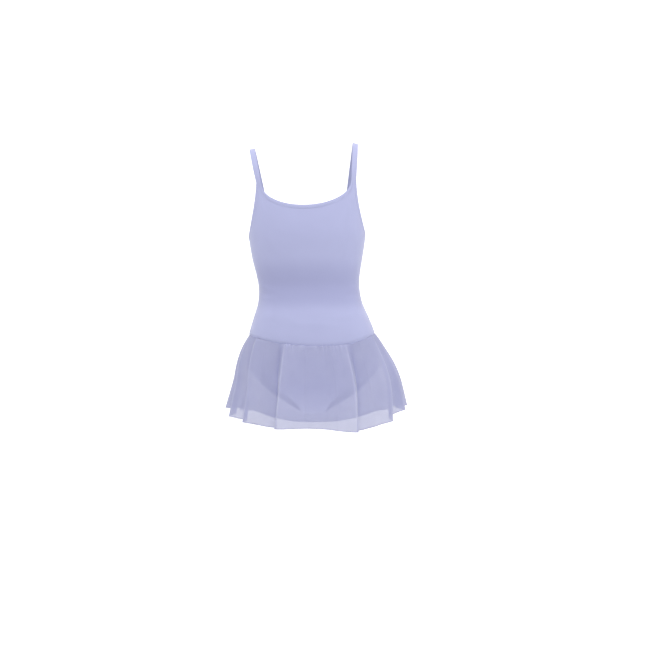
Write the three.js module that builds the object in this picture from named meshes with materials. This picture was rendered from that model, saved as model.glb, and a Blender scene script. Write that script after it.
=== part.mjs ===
// A worn ballet dress in millimetres: camisole bodice on thin straps, briefs, and a sheer flared skirt that
// is sewn into a dropped hip seam. The cloth stands as it does on a general figure, and is hollow and open.
// +X is the wearer's left, -Y the front and +Z up. The origin lies midway between the straps' highest
// points, at the height where the shoulders carry them.
import * as THREE from "three";

// Thickness of each cloth wall, and the gap that two pieces keep at a seam.
const JERSEY_WALL = 1.2;
const CHIFFON_WALL = 1;
const STRAP_WALL = 1.6;
const BAND_WALL = 1;
const SEAM_GAP = 0.3;

// The exponents of the rounded oblong of a level section, and of an ellipse.
const SQUARE = 2.4;
const ELLIPSE = 2;

// Bodice: half the neck opening's width, its depth, the height of the strap peaks beside it, and the height
// of the armholes' lowest points. The wearer's left shoulder is the higher one.
const FRONT_NECK = { half: 102, depth: 54, peak: -88.5 };
const BACK_NECK = { half: 84, depth: 46, peak: -176 };
const UNDERARM = -207;
const ARMHOLE_BEND = 0.7;
const PEAK_WIDTH = 11.5;
const SHOULDER_TILT = 0.03;

// Hip seam: its height at the side seams, and how far it dips at the front and back centre.
const SEAM_SIDE = -431.5;
const SEAM_TILT = 2.5;
const SEAM_DIP_FRONT = 27.5;
const SEAM_DIP_BACK = 12;
const SEAM_DIP_SHIFT = THREE.MathUtils.degToRad(8);

// Briefs: the height at the sides where the leg openings start, its dip at the centres, and the stretch in
// which the sections below lose that dip.
const LEG_TOP = -508;
const LEG_TOP_DIP = 12;
const LEG_TOP_FADE = 0.4;

// Straps: the highest point of each one's centre line, its width, and how far it slopes outwards there.
const STRAP_RIGHT = { x: -120.5, z: -6.5 };
const STRAP_LEFT = { x: 117, z: 6.5 };
const STRAP_WIDTH = 12.6;
const STRAP_SLOPE = 0.22;
const STRAP_SQUARING = 4;

// The way of a strap's centre line: its share of the rise from the bodice to the highest point, and y.
const STRAP_FRONT = [
  { rise: 0.4, y: -42 },
  { rise: 0.77, y: -24 },
  { rise: 0.94, y: -8 },
  { rise: 1, y: 8 },
];
const STRAP_BACK = [
  { rise: 0.965, y: 24 },
  { rise: 0.87, y: 40 },
  { rise: 0.66, y: 57 },
  { rise: 0.4, y: 69 },
];

// Edge bands: full width, the width where two of them share a strap peak, the run in which they widen, and
// how far they stand off their panel.
const NECK_BAND = 9;
const ARM_BAND = 7;
const LEG_BAND = 8;
const PEAK_BAND = 5.4;
const BAND_TAPER = 50;
const BAND_LIFT = 0.6;

// The form that the cloth is worn on, a row for each level: the centre line's lean to the wearer's left,
// half the width, and how far front and back stand from the side seams.
const FORM = [
  { z: -60, lean: 4.5, half: 141, front: 68, back: 80 },
  { z: -88, lean: 4.5, half: 140, front: 73, back: 85 },
  { z: -138, lean: 4.5, half: 137, front: 83, back: 92 },
  { z: -175, lean: 5, half: 135.5, front: 87, back: 95 },
  { z: -212, lean: 6, half: 133.5, front: 88, back: 94 },
  { z: -260, lean: 6.5, half: 126, front: 84, back: 87 },
  { z: -300, lean: 8.5, half: 118, front: 79, back: 80 },
  { z: -327, lean: 10.8, half: 115.5, front: 76, back: 77 },
  { z: -360, lean: 13.2, half: 119.5, front: 79, back: 81 },
  { z: -400, lean: 16, half: 134, front: 87, back: 93 },
  { z: -432, lean: 17.5, half: 144.5, front: 92, back: 102 },
  { z: -460, lean: 18.5, half: 149, front: 94, back: 107 },
  { z: -490, lean: 19.5, half: 152, front: 95, back: 111 },
  { z: -520, lean: 20.5, half: 153, front: 95, back: 112 },
];

// Briefs from the leg tops, step 0, to the crotch: the middle of the section, how far it has tipped from
// level, the oblong that it curves on, and its angle there from the centre to a leg edge.
const BRIEF_FRONT = [
  { step: 0, y: -95, z: -520, tip: 0, half: 153, depth: 95, reach: 90 },
  { step: 1, y: -93, z: -542, tip: 8, half: 152, depth: 93, reach: 40 },
  { step: 2, y: -84, z: -570, tip: 25, half: 146, depth: 86, reach: 20.5 },
  { step: 3, y: -63, z: -595, tip: 47, half: 120, depth: 70, reach: 13.5 },
  { step: 4, y: -34, z: -610, tip: 69, half: 80, depth: 45, reach: 17 },
  { step: 5, y: 0, z: -617, tip: 90, half: 60, depth: 30, reach: 23.5 },
];
const BRIEF_BACK = [
  { step: 0, y: 112, z: -520, tip: 0, half: 153, depth: 112, reach: 90 },
  { step: 1, y: 111, z: -550, tip: 11, half: 153, depth: 111, reach: 61 },
  { step: 2, y: 101, z: -579, tip: 31, half: 148, depth: 104, reach: 42 },
  { step: 3, y: 77, z: -601, tip: 54, half: 128, depth: 84, reach: 27 },
  { step: 4, y: 42, z: -613, tip: 75, half: 85, depth: 50, reach: 21 },
  { step: 5, y: 0, z: -617, tip: 90, half: 60, depth: 30, reach: 23.5 },
];

// Flare of the skirt, a row for each share of the drop from seam to hem: how far its middle has moved to the
// wearer's left, and how far the cloth has moved out to the right, left, front and back.
const FLARE = [
  { drop: 0, middle: 0, right: 0, left: 0, front: 0, back: 0 },
  { drop: 0.2, middle: 1.5, right: 15.5, left: 16.5, front: 15, back: 17 },
  { drop: 0.4, middle: 2.5, right: 24.5, left: 33.5, front: 28, back: 32 },
  { drop: 0.6, middle: 2.5, right: 28.5, left: 46, front: 39, back: 45 },
  { drop: 0.8, middle: 2.5, right: 35.5, left: 53.5, front: 48, back: 55 },
  { drop: 1, middle: 2.5, right: 43.5, left: 59.5, front: 55, back: 63 },
];

// Height of the hem round the skirt: angles run from the front centre, with + to the wearer's left.
const HEM = [
  { angle: -180, z: -645 },
  { angle: -165, z: -642.5 },
  { angle: -130, z: -615 },
  { angle: -95, z: -603 },
  { angle: -74, z: -618 },
  { angle: -50, z: -626 },
  { angle: -25, z: -639 },
  { angle: 0, z: -639 },
  { angle: 26, z: -646 },
  { angle: 54, z: -624 },
  { angle: 75, z: -605 },
  { angle: 95, z: -597 },
  { angle: 130, z: -614 },
  { angle: 165, z: -642.5 },
  { angle: 180, z: -645 },
];

// Folds: each ridge's angle at the seam and at the hem, how far it stands out at the hem, and the share of
// the way to the next ridge, away from the front centre, in which it falls to the valley between them.
const RIDGES = [
  { seam: -155, hem: -154, height: 13, fall: 0.3 },
  { seam: -126, hem: -124, height: 16, fall: 0.28 },
  { seam: -97, hem: -97, height: 15, fall: 0.3 },
  { seam: -76, hem: -74, height: 9, fall: 0.4 },
  { seam: -55, hem: -48, height: 13, fall: 0.3 },
  { seam: -20, hem: -21.5, height: 17, fall: 0.2 },
  { seam: 26, hem: 24, height: 18, fall: 0.2 },
  { seam: 72, hem: 54, height: 16, fall: 0.24 },
  { seam: 94, hem: 97, height: 17, fall: 0.32 },
  { seam: 128, hem: 125, height: 14, fall: 0.28 },
  { seam: 159, hem: 160, height: 15, fall: 0.3 },
];
const SIDE_RIGHT = { seam: -90, hem: -90 };
const SIDE_LEFT = { seam: 90, hem: 90 };
const FOLD_GROWTH = 0.8;
const FRONT_CENTRE_SAG = 1.2;
const BACK_CENTRE_SAG = 1.7;

// Gathers between the two front ridges, just under the seam: number, height, and how soon they fade.
const GATHERS = 11;
const GATHER_HEIGHT = 1.5;
const GATHER_FADE = 0.1;

// Cells along and across the pieces, and how far some of them crowd together towards their start.
const BODICE_ROWS = 14;
const NECK_CELLS = 14;
const ARMHOLE_CELLS = 7;
const ARMHOLE_CROWDING = 1.5;
const BRIEF_UPPER_ROWS = 4;
const BRIEF_LOWER_ROWS = 11;
const BRIEF_CELLS = 20;
const BRIEF_CROWDING = 1.4;
const LEG_BAND_CELLS = 22;
const SKIRT_ROWS = 10;
const SKIRT_ROW_CROWDING = 1.4;
const SKIRT_CELL_CROWDING = 1.5;
const FOLD_CELL = 3.4;
const GATHER_CELL = 1.3;
const FEWEST_CELLS = 2;
const STRAP_STEPS = 30;
const STRAP_CELLS = 2;

// Small steps for directions that are worked out from two near points.
const ANGLE_STEP = 0.01;
const HEIGHT_STEP = 1;
const SHARE_STEP = 0.02;

const jersey = new THREE.MeshStandardMaterial({ color: 0xb5b6dc, roughness: 0.75, metalness: 0 });
const edging = new THREE.MeshStandardMaterial({ color: 0xadaed6, roughness: 0.7, metalness: 0 });
const chiffon = new THREE.MeshStandardMaterial({
  color: 0xb9b9dc,
  roughness: 0.85,
  metalness: 0,
  transparent: true,
  opacity: 0.65,
  side: THREE.DoubleSide,
});

const FRONT = -1;
const BACK = 1;
const RIGHT = -1;
const LEFT = 1;

const dress = new THREE.Group();
dress.name = "ballet_dress";

const { clamp, degToRad, euclideanModulo, lerp, radToDeg, smoothstep } = THREE.MathUtils;
const share = (count) => Array.from({ length: count + 1 }, (_, i) => i / count);
const power = (value, exponent) => Math.sign(value) * Math.abs(value) ** exponent;
const smooth = (t) => smoothstep(t, 0, 1);

// Reads a table smoothly: gives every column of its rows as a function of the column named key.
function reader(rows, key) {
  const columns = Object.keys(rows[0]).filter((column) => column !== key);
  const rising = rows[1][key] > rows[0][key];
  const slope = (column, i) => {
    const before = rows[Math.max(i - 1, 0)];
    const after = rows[Math.min(i + 1, rows.length - 1)];
    return (after[column] - before[column]) / (after[key] - before[key]);
  };
  return (at) => {
    let i = 0;
    while (i < rows.length - 2 && (rising ? at > rows[i + 1][key] : at < rows[i + 1][key])) i += 1;
    const span = rows[i + 1][key] - rows[i][key];
    const t = clamp((at - rows[i][key]) / span, 0, 1);
    const found = {};
    for (const column of columns) {
      const change = rows[i + 1][column] - rows[i][column];
      const first = slope(column, i) * span;
      const last = slope(column, i + 1) * span;
      const bend = t * t * (3 * change - 2 * first - last) + t * t * t * (first + last - 2 * change);
      found[column] = rows[i][column] + t * first + bend;
    }
    return found;
  };
}

const formAt = reader(FORM, "z");
const flareAt = reader(FLARE, "drop");
const hemAt = reader(HEM, "angle");
const briefAt = { [FRONT]: reader(BRIEF_FRONT, "step"), [BACK]: reader(BRIEF_BACK, "step") };
const neckOf = { [FRONT]: FRONT_NECK, [BACK]: BACK_NECK };

// A point on a rounded oblong, at an angle from the front centre.
function oblong(angle, half, depth, square) {
  return [half * power(Math.sin(angle), 2 / square), -depth * power(Math.cos(angle), 2 / square)];
}

// The form's surface at an angle from the front centre and a height.
function onForm(angle, z) {
  const row = formAt(z);
  const [x, y] = oblong(angle, row.half, Math.cos(angle) > 0 ? row.front : row.back, SQUARE);
  return new THREE.Vector3(row.lean + x, y, z);
}

// The angle on the form of a point on it or near it.
function angleOf(point) {
  const row = formAt(point.z);
  const across = power((point.x - row.lean) / row.half, SQUARE / 2);
  return Math.atan2(across, power(-point.y / (point.y < 0 ? row.front : row.back), SQUARE / 2));
}

// The form's outward direction at an angle and height.
function formNormal(angle, z) {
  const across = onForm(angle + ANGLE_STEP, z).sub(onForm(angle - ANGLE_STEP, z));
  const up = onForm(angle, z + HEIGHT_STEP).sub(onForm(angle, z - HEIGHT_STEP));
  return across.cross(up).normalize();
}

// The angle from a panel's centre at which the form lies a distance to its side.
function angleAcross(x, z) {
  return Math.asin(power(x / formAt(z).half, SQUARE / 2));
}

// Height of the hip seam at an angle.
function seamHeight(angle) {
  const dip = Math.cos(angle) > 0 ? SEAM_DIP_FRONT : SEAM_DIP_BACK;
  const towardsCentre = Math.cos(angle - SEAM_DIP_SHIFT * Math.cos(angle));
  return SEAM_SIDE + SEAM_TILT * Math.sin(angle) - dip * towardsCentre ** 2;
}

// A cloth wall from a grid of points, rows upwards and columns anticlockwise seen from above. Its outer face
// lies the inset behind the points. Where square names a part of the normal, that part is left out, so that
// an edge stays in the plane of its seam.
function clothWall(name, grid, thickness, material, inset, square) {
  const rows = grid.length;
  const columns = grid[0].length;
  const at = (i, j) => grid[clamp(i, 0, rows - 1)][clamp(j, 0, columns - 1)];
  const outer = [];
  const inner = [];
  for (let i = 0; i < rows; i += 1) {
    for (let j = 0; j < columns; j += 1) {
      const across = at(i, j + 1).clone().sub(at(i, j - 1));
      const up = at(i + 1, j).clone().sub(at(i - 1, j));
      const normal = across.cross(up);
      const part = square(i / (rows - 1), j / (columns - 1));
      if (part) normal[part] = 0;
      normal.normalize();
      outer.push(at(i, j).clone().addScaledVector(normal, -inset));
      inner.push(at(i, j).clone().addScaledVector(normal, -inset - thickness));
    }
  }
  const points = [...outer, ...inner];
  const out = (i, j) => i * columns + j;
  const into = (i, j) => rows * columns + i * columns + j;
  const faces = [];
  const quad = (a, b, c, d) => faces.push(a, b, c, a, c, d);
  for (let i = 0; i < rows - 1; i += 1) {
    for (let j = 0; j < columns - 1; j += 1) {
      const [a, b, c, d] = [out(i, j), out(i, j + 1), out(i + 1, j + 1), out(i + 1, j)];
      const [e, f, g, h] = [into(i, j), into(i, j + 1), into(i + 1, j + 1), into(i + 1, j)];
      if (points[a].distanceTo(points[c]) < points[b].distanceTo(points[d])) {
        quad(a, b, c, d);
        quad(e, h, g, f);
      } else {
        quad(b, c, d, a);
        quad(f, e, h, g);
      }
    }
  }
  for (let j = 0; j < columns - 1; j += 1) {
    quad(into(0, j), into(0, j + 1), out(0, j + 1), out(0, j));
    quad(out(rows - 1, j), out(rows - 1, j + 1), into(rows - 1, j + 1), into(rows - 1, j));
  }
  for (let i = 0; i < rows - 1; i += 1) {
    quad(out(i, 0), out(i + 1, 0), into(i + 1, 0), into(i, 0));
    quad(into(i, columns - 1), into(i + 1, columns - 1), out(i + 1, columns - 1), out(i, columns - 1));
  }
  const geometry = new THREE.BufferGeometry();
  geometry.setAttribute("position", new THREE.Float32BufferAttribute(points.flatMap((p) => p.toArray()), 3));
  geometry.setIndex(faces);
  geometry.computeVertexNormals();
  const mesh = new THREE.Mesh(geometry, material);
  mesh.name = name;
  dress.add(mesh);
}

const nowhere = () => "";
const atSideSeams = (_, across) => (across === 0 || across === 1 ? "y" : "");
const atStrapEnds = (along) => (along === 0 || along === 1 ? "z" : "");

// Moves a point half a seam gap to the front or the back, so that the halves stand apart at the side seams.
function parted(point, facing) {
  return point.clone().add(new THREE.Vector3(0, (facing * SEAM_GAP) / 2, 0));
}

// A point of a bodice panel's top edge, from its angle off the centre and its height on level shoulders.
function edgePoint(facing, offCentre, z) {
  const angle = facing === FRONT ? offCentre : Math.PI - offCentre;
  const [x] = oblong(angle, formAt(z).half, 0, SQUARE);
  return { angle, z: z + SHOULDER_TILT * x };
}

// One armhole edge of a panel, from its side seam to the strap peak.
function armholeEdge(facing, side) {
  const neck = neckOf[facing];
  const peakAngle = angleAcross(neck.half + PEAK_WIDTH, neck.peak);
  return share(ARMHOLE_CELLS).map((t) => {
    const down = (1 - t) ** ARMHOLE_CROWDING;
    const fall = (1 - (1 - down) ** 2) ** ARMHOLE_BEND;
    return edgePoint(facing, side * lerp(peakAngle, Math.PI / 2, down), lerp(neck.peak, UNDERARM, fall));
  });
}

// The neckline of a panel from the wearer's right to the left, a half ellipse between the strap peaks.
function neckEdge(facing) {
  const neck = neckOf[facing];
  return share(NECK_CELLS).map((t) => {
    const turn = (t - 0.5) * Math.PI;
    const z = neck.peak - neck.depth * Math.cos(turn);
    return edgePoint(facing, angleAcross(neck.half * Math.sin(turn), z), z);
  });
}

// The whole top edge of a panel, anticlockwise, with the middle of each strap peak.
function topEdge(facing) {
  const { half, peak } = neckOf[facing];
  const peakMiddle = (side) => edgePoint(facing, angleAcross(side * (half + PEAK_WIDTH / 2), peak), peak);
  const leftwards = [
    ...armholeEdge(facing, RIGHT),
    peakMiddle(RIGHT),
    ...neckEdge(facing),
    peakMiddle(LEFT),
    ...armholeEdge(facing, LEFT).reverse(),
  ];
  return facing === FRONT ? leftwards : leftwards.reverse();
}

// A bodice panel: its columns are evenly spread on the hip seam and end at the points of the top edge.
function bodicePanel(name, facing) {
  const edge = topEdge(facing);
  const start = facing === FRONT ? -Math.PI / 2 : Math.PI / 2;
  const grid = share(BODICE_ROWS).map((up) =>
    edge.map((top, j) => {
      const even = start + (Math.PI * j) / (edge.length - 1);
      const angle = lerp(even, top.angle, smooth(up));
      return parted(onForm(angle, lerp(seamHeight(angle), top.z, up)), facing);
    }),
  );
  clothWall(name, grid, JERSEY_WALL, jersey, 0, atSideSeams);
}

// A point of the briefs. Down runs from -1 at the hip seam over 0 at the leg tops to 1 at the crotch, and
// across from -1 at the wearer's right edge to 1 at the left.
function briefPoint(facing, down, across) {
  if (down <= 0) {
    const angle = facing === FRONT ? (across * Math.PI) / 2 : Math.PI - (across * Math.PI) / 2;
    const legTop = LEG_TOP - LEG_TOP_DIP * Math.cos(angle) ** 2;
    return onForm(angle, lerp(legTop, seamHeight(angle) - SEAM_GAP, -down));
  }
  const row = briefAt[facing](down * (BRIEF_FRONT.length - 1));
  const angle = across * degToRad(row.reach);
  const [x, y] = oblong(angle, row.half, row.depth, SQUARE);
  const behind = row.depth + y;
  const lift = LEG_TOP_DIP * (1 - smooth(down / LEG_TOP_FADE)) * Math.sin(angle) ** 2;
  return new THREE.Vector3(
    formAt(row.z).lean + x,
    row.y - facing * behind * Math.cos(degToRad(row.tip)),
    row.z + behind * Math.sin(degToRad(row.tip)) + lift,
  );
}

// How far the briefs lie behind the form, so that the skirt's top hangs outside them.
const BRIEF_INSET = CHIFFON_WALL + SEAM_GAP;

function briefPanel(name, facing) {
  const lower = share(BRIEF_LOWER_ROWS).map((t) => t ** BRIEF_CROWDING);
  const upper = share(BRIEF_UPPER_ROWS).map((t) => -t);
  const downs = [...lower.reverse(), ...upper.slice(1)];
  const legTopRow = BRIEF_LOWER_ROWS / (downs.length - 1);
  const grid = downs.map((down) =>
    share(BRIEF_CELLS).map((t) => parted(briefPoint(facing, down, -facing * (2 * t - 1)), facing)),
  );
  const square = (up, across) => (up === 0 || (up >= legTopRow && atSideSeams(up, across)) ? "y" : "");
  clothWall(name, grid, JERSEY_WALL, jersey, BRIEF_INSET, square);
}

const turned = (ridge) => ({ ...ridge, seam: ridge.seam + 360, hem: ridge.hem + 360 });
const RIDGE_RING = [...RIDGES, turned(RIDGES[0])];

// How far the skirt's folds and gathers stand out at an angle in degrees.
function foldHeight(degrees, drop) {
  const place = (ridge) => lerp(ridge.seam, ridge.hem, drop);
  const start = place(RIDGE_RING[0]);
  const at = start + euclideanModulo(degrees - start, 360);
  const k = RIDGE_RING.slice(0, -1).findLastIndex((ridge) => place(ridge) <= at);
  const [low, high] = [RIDGE_RING[k], RIDGE_RING[k + 1]];
  const t = (at - place(low)) / (place(high) - place(low));
  const reach = lerp(low.height, high.height, t) * drop ** FOLD_GROWTH;
  if (low.seam < 0 && high.seam > 0) {
    const gather = GATHER_HEIGHT * Math.exp(-drop / GATHER_FADE) * Math.sin(Math.PI * GATHERS * t) ** 2;
    return reach * (1 - FRONT_CENTRE_SAG * Math.sin(Math.PI * t) ** 2) + gather;
  }
  if (high.seam > 180) return reach * (1 - BACK_CENTRE_SAG * Math.sin(Math.PI * t) ** 2);
  const { fall } = low.seam < 0 ? high : low;
  const away = low.seam < 0 ? 1 - t : t;
  if (away < fall) return reach * Math.cos((Math.PI * away) / fall);
  return -reach * Math.cos((Math.PI * (away - fall)) / (1 - fall));
}

// The skirt's flared surface without its folds.
function flared(angle, drop) {
  const row = flareAt(drop);
  const side = Math.sin(angle) > 0 ? row.left : row.right;
  const [x, y] = oblong(angle, side, Math.cos(angle) > 0 ? row.front : row.back, ELLIPSE);
  const seam = seamHeight(angle);
  const hem = hemAt(euclideanModulo(radToDeg(angle) + 180, 360) - 180).z;
  const point = onForm(angle, seam).add(new THREE.Vector3(row.middle + x, y, 0));
  point.z = lerp(seam - SEAM_GAP, hem, drop);
  return point;
}

function skirtPoint(degrees, drop) {
  const angle = degToRad(degrees);
  const across = flared(angle + ANGLE_STEP, drop).sub(flared(angle - ANGLE_STEP, drop));
  const outward = new THREE.Vector3(across.y, -across.x, 0).normalize();
  return flared(angle, drop).addScaledVector(outward, foldHeight(degrees, drop));
}

// The columns of a skirt panel, each with its angle at the seam and at the hem. They follow the ridges, and
// crowd together on the side of each ridge where the cloth falls.
function skirtColumns(stations) {
  const columns = [stations[0]];
  for (let k = 1; k < stations.length; k += 1) {
    const [low, high] = [stations[k - 1], stations[k]];
    const frontCentre = low.seam < 0 && high.seam > 0;
    const backCentre = low.seam < 180 && high.seam > 180;
    const rightSide = low.seam < 0 || low.seam > 180;
    const size = frontCentre ? GATHER_CELL : FOLD_CELL;
    const cells = Math.max(FEWEST_CELLS, Math.round((high.seam - low.seam) / size));
    for (const t of share(cells).slice(1)) {
      let along = t;
      if (!frontCentre && !backCentre) {
        along = rightSide ? 1 - (1 - t) ** SKIRT_CELL_CROWDING : t ** SKIRT_CELL_CROWDING;
      }
      columns.push({ seam: lerp(low.seam, high.seam, along), hem: lerp(low.hem, high.hem, along) });
    }
  }
  return columns;
}

function skirtPanel(name, facing, stations) {
  const columns = skirtColumns(stations);
  const drops = share(SKIRT_ROWS).map((t) => t ** SKIRT_ROW_CROWDING);
  const grid = drops.reverse().map((drop) => {
    const row = columns.map(({ seam, hem }) => skirtPoint(lerp(seam, hem, drop), drop));
    row[0].y = 0;
    row.at(-1).y = 0;
    return row.map((point) => parted(point, facing));
  });
  clothWall(name, grid, CHIFFON_WALL, chiffon, 0, atSideSeams);
}

// A strap's end on a panel: the middle of the strap peak, and the way across it to the wearer's left.
function strapEnd(facing, side) {
  const corners = [neckEdge(facing).at(side === RIGHT ? 0 : -1), armholeEdge(facing, side).at(-1)];
  const [first, second] = corners
    .map(({ angle, z }) => parted(onForm(angle, z + SEAM_GAP), facing))
    .sort((a, b) => a.x - b.x);
  return { middle: first.clone().lerp(second, 0.5), across: second.clone().sub(first).normalize() };
}

function strap(name, side, top) {
  const ends = { [FRONT]: strapEnd(FRONT, side), [BACK]: strapEnd(BACK, side) };
  const topAcross = new THREE.Vector3(1, 0, -side * STRAP_SLOPE).normalize();
  const way = (facing, rows) =>
    rows.map(({ rise, y }) => {
      const { x, z } = ends[facing].middle;
      return new THREE.Vector3(lerp(x, top.x, rise), y, lerp(z, top.z, rise));
    });
  const stops = [ends[FRONT].middle, ...way(FRONT, STRAP_FRONT), ...way(BACK, STRAP_BACK), ends[BACK].middle];
  const curve = new THREE.CatmullRomCurve3(stops, false, "centripetal");
  const grid = share(STRAP_STEPS).map((t) => {
    const middle = curve.getPointAt(t);
    const tangent = curve.getTangentAt(t);
    const end = ends[middle.y < STRAP_FRONT.at(-1).y ? FRONT : BACK];
    const rise = clamp((middle.z - end.middle.z) / (top.z - end.middle.z), 0, 1);
    const across = end.across.clone().lerp(topAcross, smooth(rise));
    across.addScaledVector(tangent, -across.dot(tangent) * smooth(rise * STRAP_SQUARING)).normalize();
    return share(STRAP_CELLS).map((u) => middle.clone().addScaledVector(across, (u - 0.5) * STRAP_WIDTH));
  });
  clothWall(name, grid, STRAP_WALL, edging, (JERSEY_WALL - STRAP_WALL) / 2, atStrapEnds);
}

// The direction of a line of points at one of them.
function tangentAt(line, j) {
  const next = line[Math.min(j + 1, line.length - 1)];
  return next.clone().sub(line[Math.max(j - 1, 0)]).normalize();
}

// A band over an edge of the bodice, anticlockwise, which narrows to its ends on the strap peaks.
function topBand(name, edge, fullWidth) {
  const line = edge.map(({ angle, z }) => onForm(angle, z));
  const runs = [0];
  for (let j = 1; j < line.length; j += 1) runs.push(runs[j - 1] + line[j].distanceTo(line[j - 1]));
  const within = line.map((point, j) => {
    const fromEnd = Math.min(runs[j], runs.at(-1) - runs[j]);
    const width = lerp(PEAK_BAND, fullWidth, smooth(fromEnd / BAND_TAPER));
    const inwards = tangentAt(line, j).cross(formNormal(edge[j].angle, edge[j].z));
    if (j === 0 || j === line.length - 1) inwards.z = 0;
    const inside = point.clone().addScaledVector(inwards.normalize(), width);
    return onForm(angleOf(inside), inside.z);
  });
  clothWall(name, [within, line], BAND_WALL, edging, -BAND_LIFT - BAND_WALL, nowhere);
}

// The briefs' outward direction close to a leg edge.
function briefNormal(facing, down, side) {
  const across = briefPoint(facing, down, side).sub(briefPoint(facing, down, side * (1 - SHARE_STEP)));
  const near = Math.min(down + SHARE_STEP, 1);
  const inner = side * (1 - SHARE_STEP);
  const downwards = briefPoint(facing, near, inner).sub(briefPoint(facing, near - 2 * SHARE_STEP, inner));
  return across.cross(downwards).multiplyScalar(facing * side).normalize();
}

// A band round a leg opening, from side seam to side seam by way of the crotch.
function legBand(name, side) {
  const lower = share(LEG_BAND_CELLS).map((t) => t ** BRIEF_CROWDING);
  const first = lower.map((down) => ({ facing: side * BACK, down }));
  const second = lower.map((down) => ({ facing: side * FRONT, down })).reverse();
  const stops = [...first.slice(0, -1), ...second];
  const line = stops.map(({ facing, down }) => {
    const point = briefPoint(facing, down, side);
    return down === 1 ? point : parted(point, facing);
  });
  const within = line.map((point, j) => {
    const inwards = briefNormal(stops[j].facing, stops[j].down, side).cross(tangentAt(line, j));
    if (stops[j].down === 0) inwards.set(0, 0, 1);
    return point.clone().addScaledVector(inwards.normalize(), LEG_BAND);
  });
  clothWall(name, [line, within], BAND_WALL, edging, BRIEF_INSET - BAND_LIFT - BAND_WALL, atSideSeams);
}

bodicePanel("bodice_front", FRONT);
bodicePanel("bodice_back", BACK);
briefPanel("brief_front", FRONT);
briefPanel("brief_back", BACK);

const onFront = ({ seam }) => Math.abs(seam) < SIDE_LEFT.seam;
const leftBack = RIDGES.filter(({ seam }) => seam > SIDE_LEFT.seam);
const rightBack = RIDGES.filter(({ seam }) => seam < SIDE_RIGHT.seam).map(turned);
skirtPanel("skirt_front", FRONT, [SIDE_RIGHT, ...RIDGES.filter(onFront), SIDE_LEFT]);
skirtPanel("skirt_back", BACK, [SIDE_LEFT, ...leftBack, ...rightBack, turned(SIDE_RIGHT)]);

strap("strap_right", RIGHT, STRAP_RIGHT);
strap("strap_left", LEFT, STRAP_LEFT);

topBand("neck_band_front", neckEdge(FRONT), NECK_BAND);
topBand("neck_band_back", neckEdge(BACK).reverse(), NECK_BAND);
const leftArm = [...armholeEdge(FRONT, LEFT).reverse(), ...armholeEdge(BACK, LEFT).slice(1)];
topBand("arm_band_left", leftArm, ARM_BAND);
const rightArm = [...armholeEdge(BACK, RIGHT).reverse(), ...armholeEdge(FRONT, RIGHT).slice(1)];
topBand("arm_band_right", rightArm, ARM_BAND);
legBand("leg_band_left", LEFT);
legBand("leg_band_right", RIGHT);

export default dress;
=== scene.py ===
"""A worn ballet dress: camisole bodice on thin straps, briefs, and a sheer flared skirt on a dropped seam.

Cut and form are worked in millimetres, as on a maker's pattern, and each mesh is written in metres. +X is the
wearer's left, -Y the front and +Z up. The origin lies midway between the straps' highest points.
"""
import logging
from dataclasses import astuple, dataclass
from enum import Enum
from math import pi, radians

import bpy
import numpy as np
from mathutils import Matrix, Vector
from mathutils.bvhtree import BVHTree


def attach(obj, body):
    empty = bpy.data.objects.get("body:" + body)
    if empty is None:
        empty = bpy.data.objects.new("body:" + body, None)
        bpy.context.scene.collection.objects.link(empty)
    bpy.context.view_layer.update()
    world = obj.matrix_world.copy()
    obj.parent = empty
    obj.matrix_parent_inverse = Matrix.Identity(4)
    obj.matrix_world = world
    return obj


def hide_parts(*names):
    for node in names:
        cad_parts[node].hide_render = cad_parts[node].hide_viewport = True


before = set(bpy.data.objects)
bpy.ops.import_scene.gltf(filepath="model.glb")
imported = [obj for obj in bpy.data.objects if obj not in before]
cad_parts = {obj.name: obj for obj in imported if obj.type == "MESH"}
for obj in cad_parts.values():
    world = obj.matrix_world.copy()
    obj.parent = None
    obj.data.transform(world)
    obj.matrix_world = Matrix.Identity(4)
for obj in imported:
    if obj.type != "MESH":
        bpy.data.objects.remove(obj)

Table = tuple[tuple[float, ...], ...]
Place = tuple[float, float, float]
Colour = tuple[float, float, float, float]
Cut = tuple[float, float]
Rows = list[tuple[np.ndarray, np.ndarray]]

LOG = logging.getLogger("ballet_dress")
MM = 0.001
# Values on the points that the finishes read: painted shade and highlights in the skirt's folds, with 0.5
# painting neither.
FOLD_LIGHT_MARK = "fold"
# Painted shade round the bodice's narrow waist.
WAIST_SHADE_MARK = "painted_waist_shade"
UNPAINTED_FOLD_LIGHT = 0.5
JERSEY_WALL = 0.9
JERSEY_ROUNDING = 0.25
SEAM_GAP = 0.1
SEAM_DROP = 0.3
STITCH_PITCH = 3.0
THREAD_LIFT = 0.1
ANGLE_STEP = 0.01
HEIGHT_STEP = 1.0
RIM_ANGLE = radians(50)
CURVE_STEPS = 40


class Facing(Enum):
    """The half of the dress that a panel belongs to, with its direction along Y."""

    FRONT = -1
    BACK = 1


class Side(Enum):
    """A side of the wearer, with its direction along X."""

    RIGHT = -1
    LEFT = 1


class Hold(Enum):
    """How a sheet of cloth is held."""

    STRETCHED = "stretched"
    GATHERED = "gathered"
    FOLDED = "folded"


def lerp(first: np.ndarray, second: np.ndarray, part: np.ndarray) -> np.ndarray:
    """Gives the value a part of the way from the first to the second."""
    return first + (second - first) * part


def smooth(part: np.ndarray) -> np.ndarray:
    """Eases a part from 0 to 1 in at both ends."""
    held = np.clip(part, 0, 1)
    return held * held * (3 - 2 * held)


def power(value: np.ndarray, exponent: float) -> np.ndarray:
    """Raises a value's size to an exponent and keeps its sign."""
    return np.sign(value) * np.abs(value) ** exponent


def unit(vectors: np.ndarray) -> np.ndarray:
    """Gives vectors a length of one."""
    return vectors / np.maximum(np.linalg.norm(vectors, axis=-1, keepdims=True), 1e-9)


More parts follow.
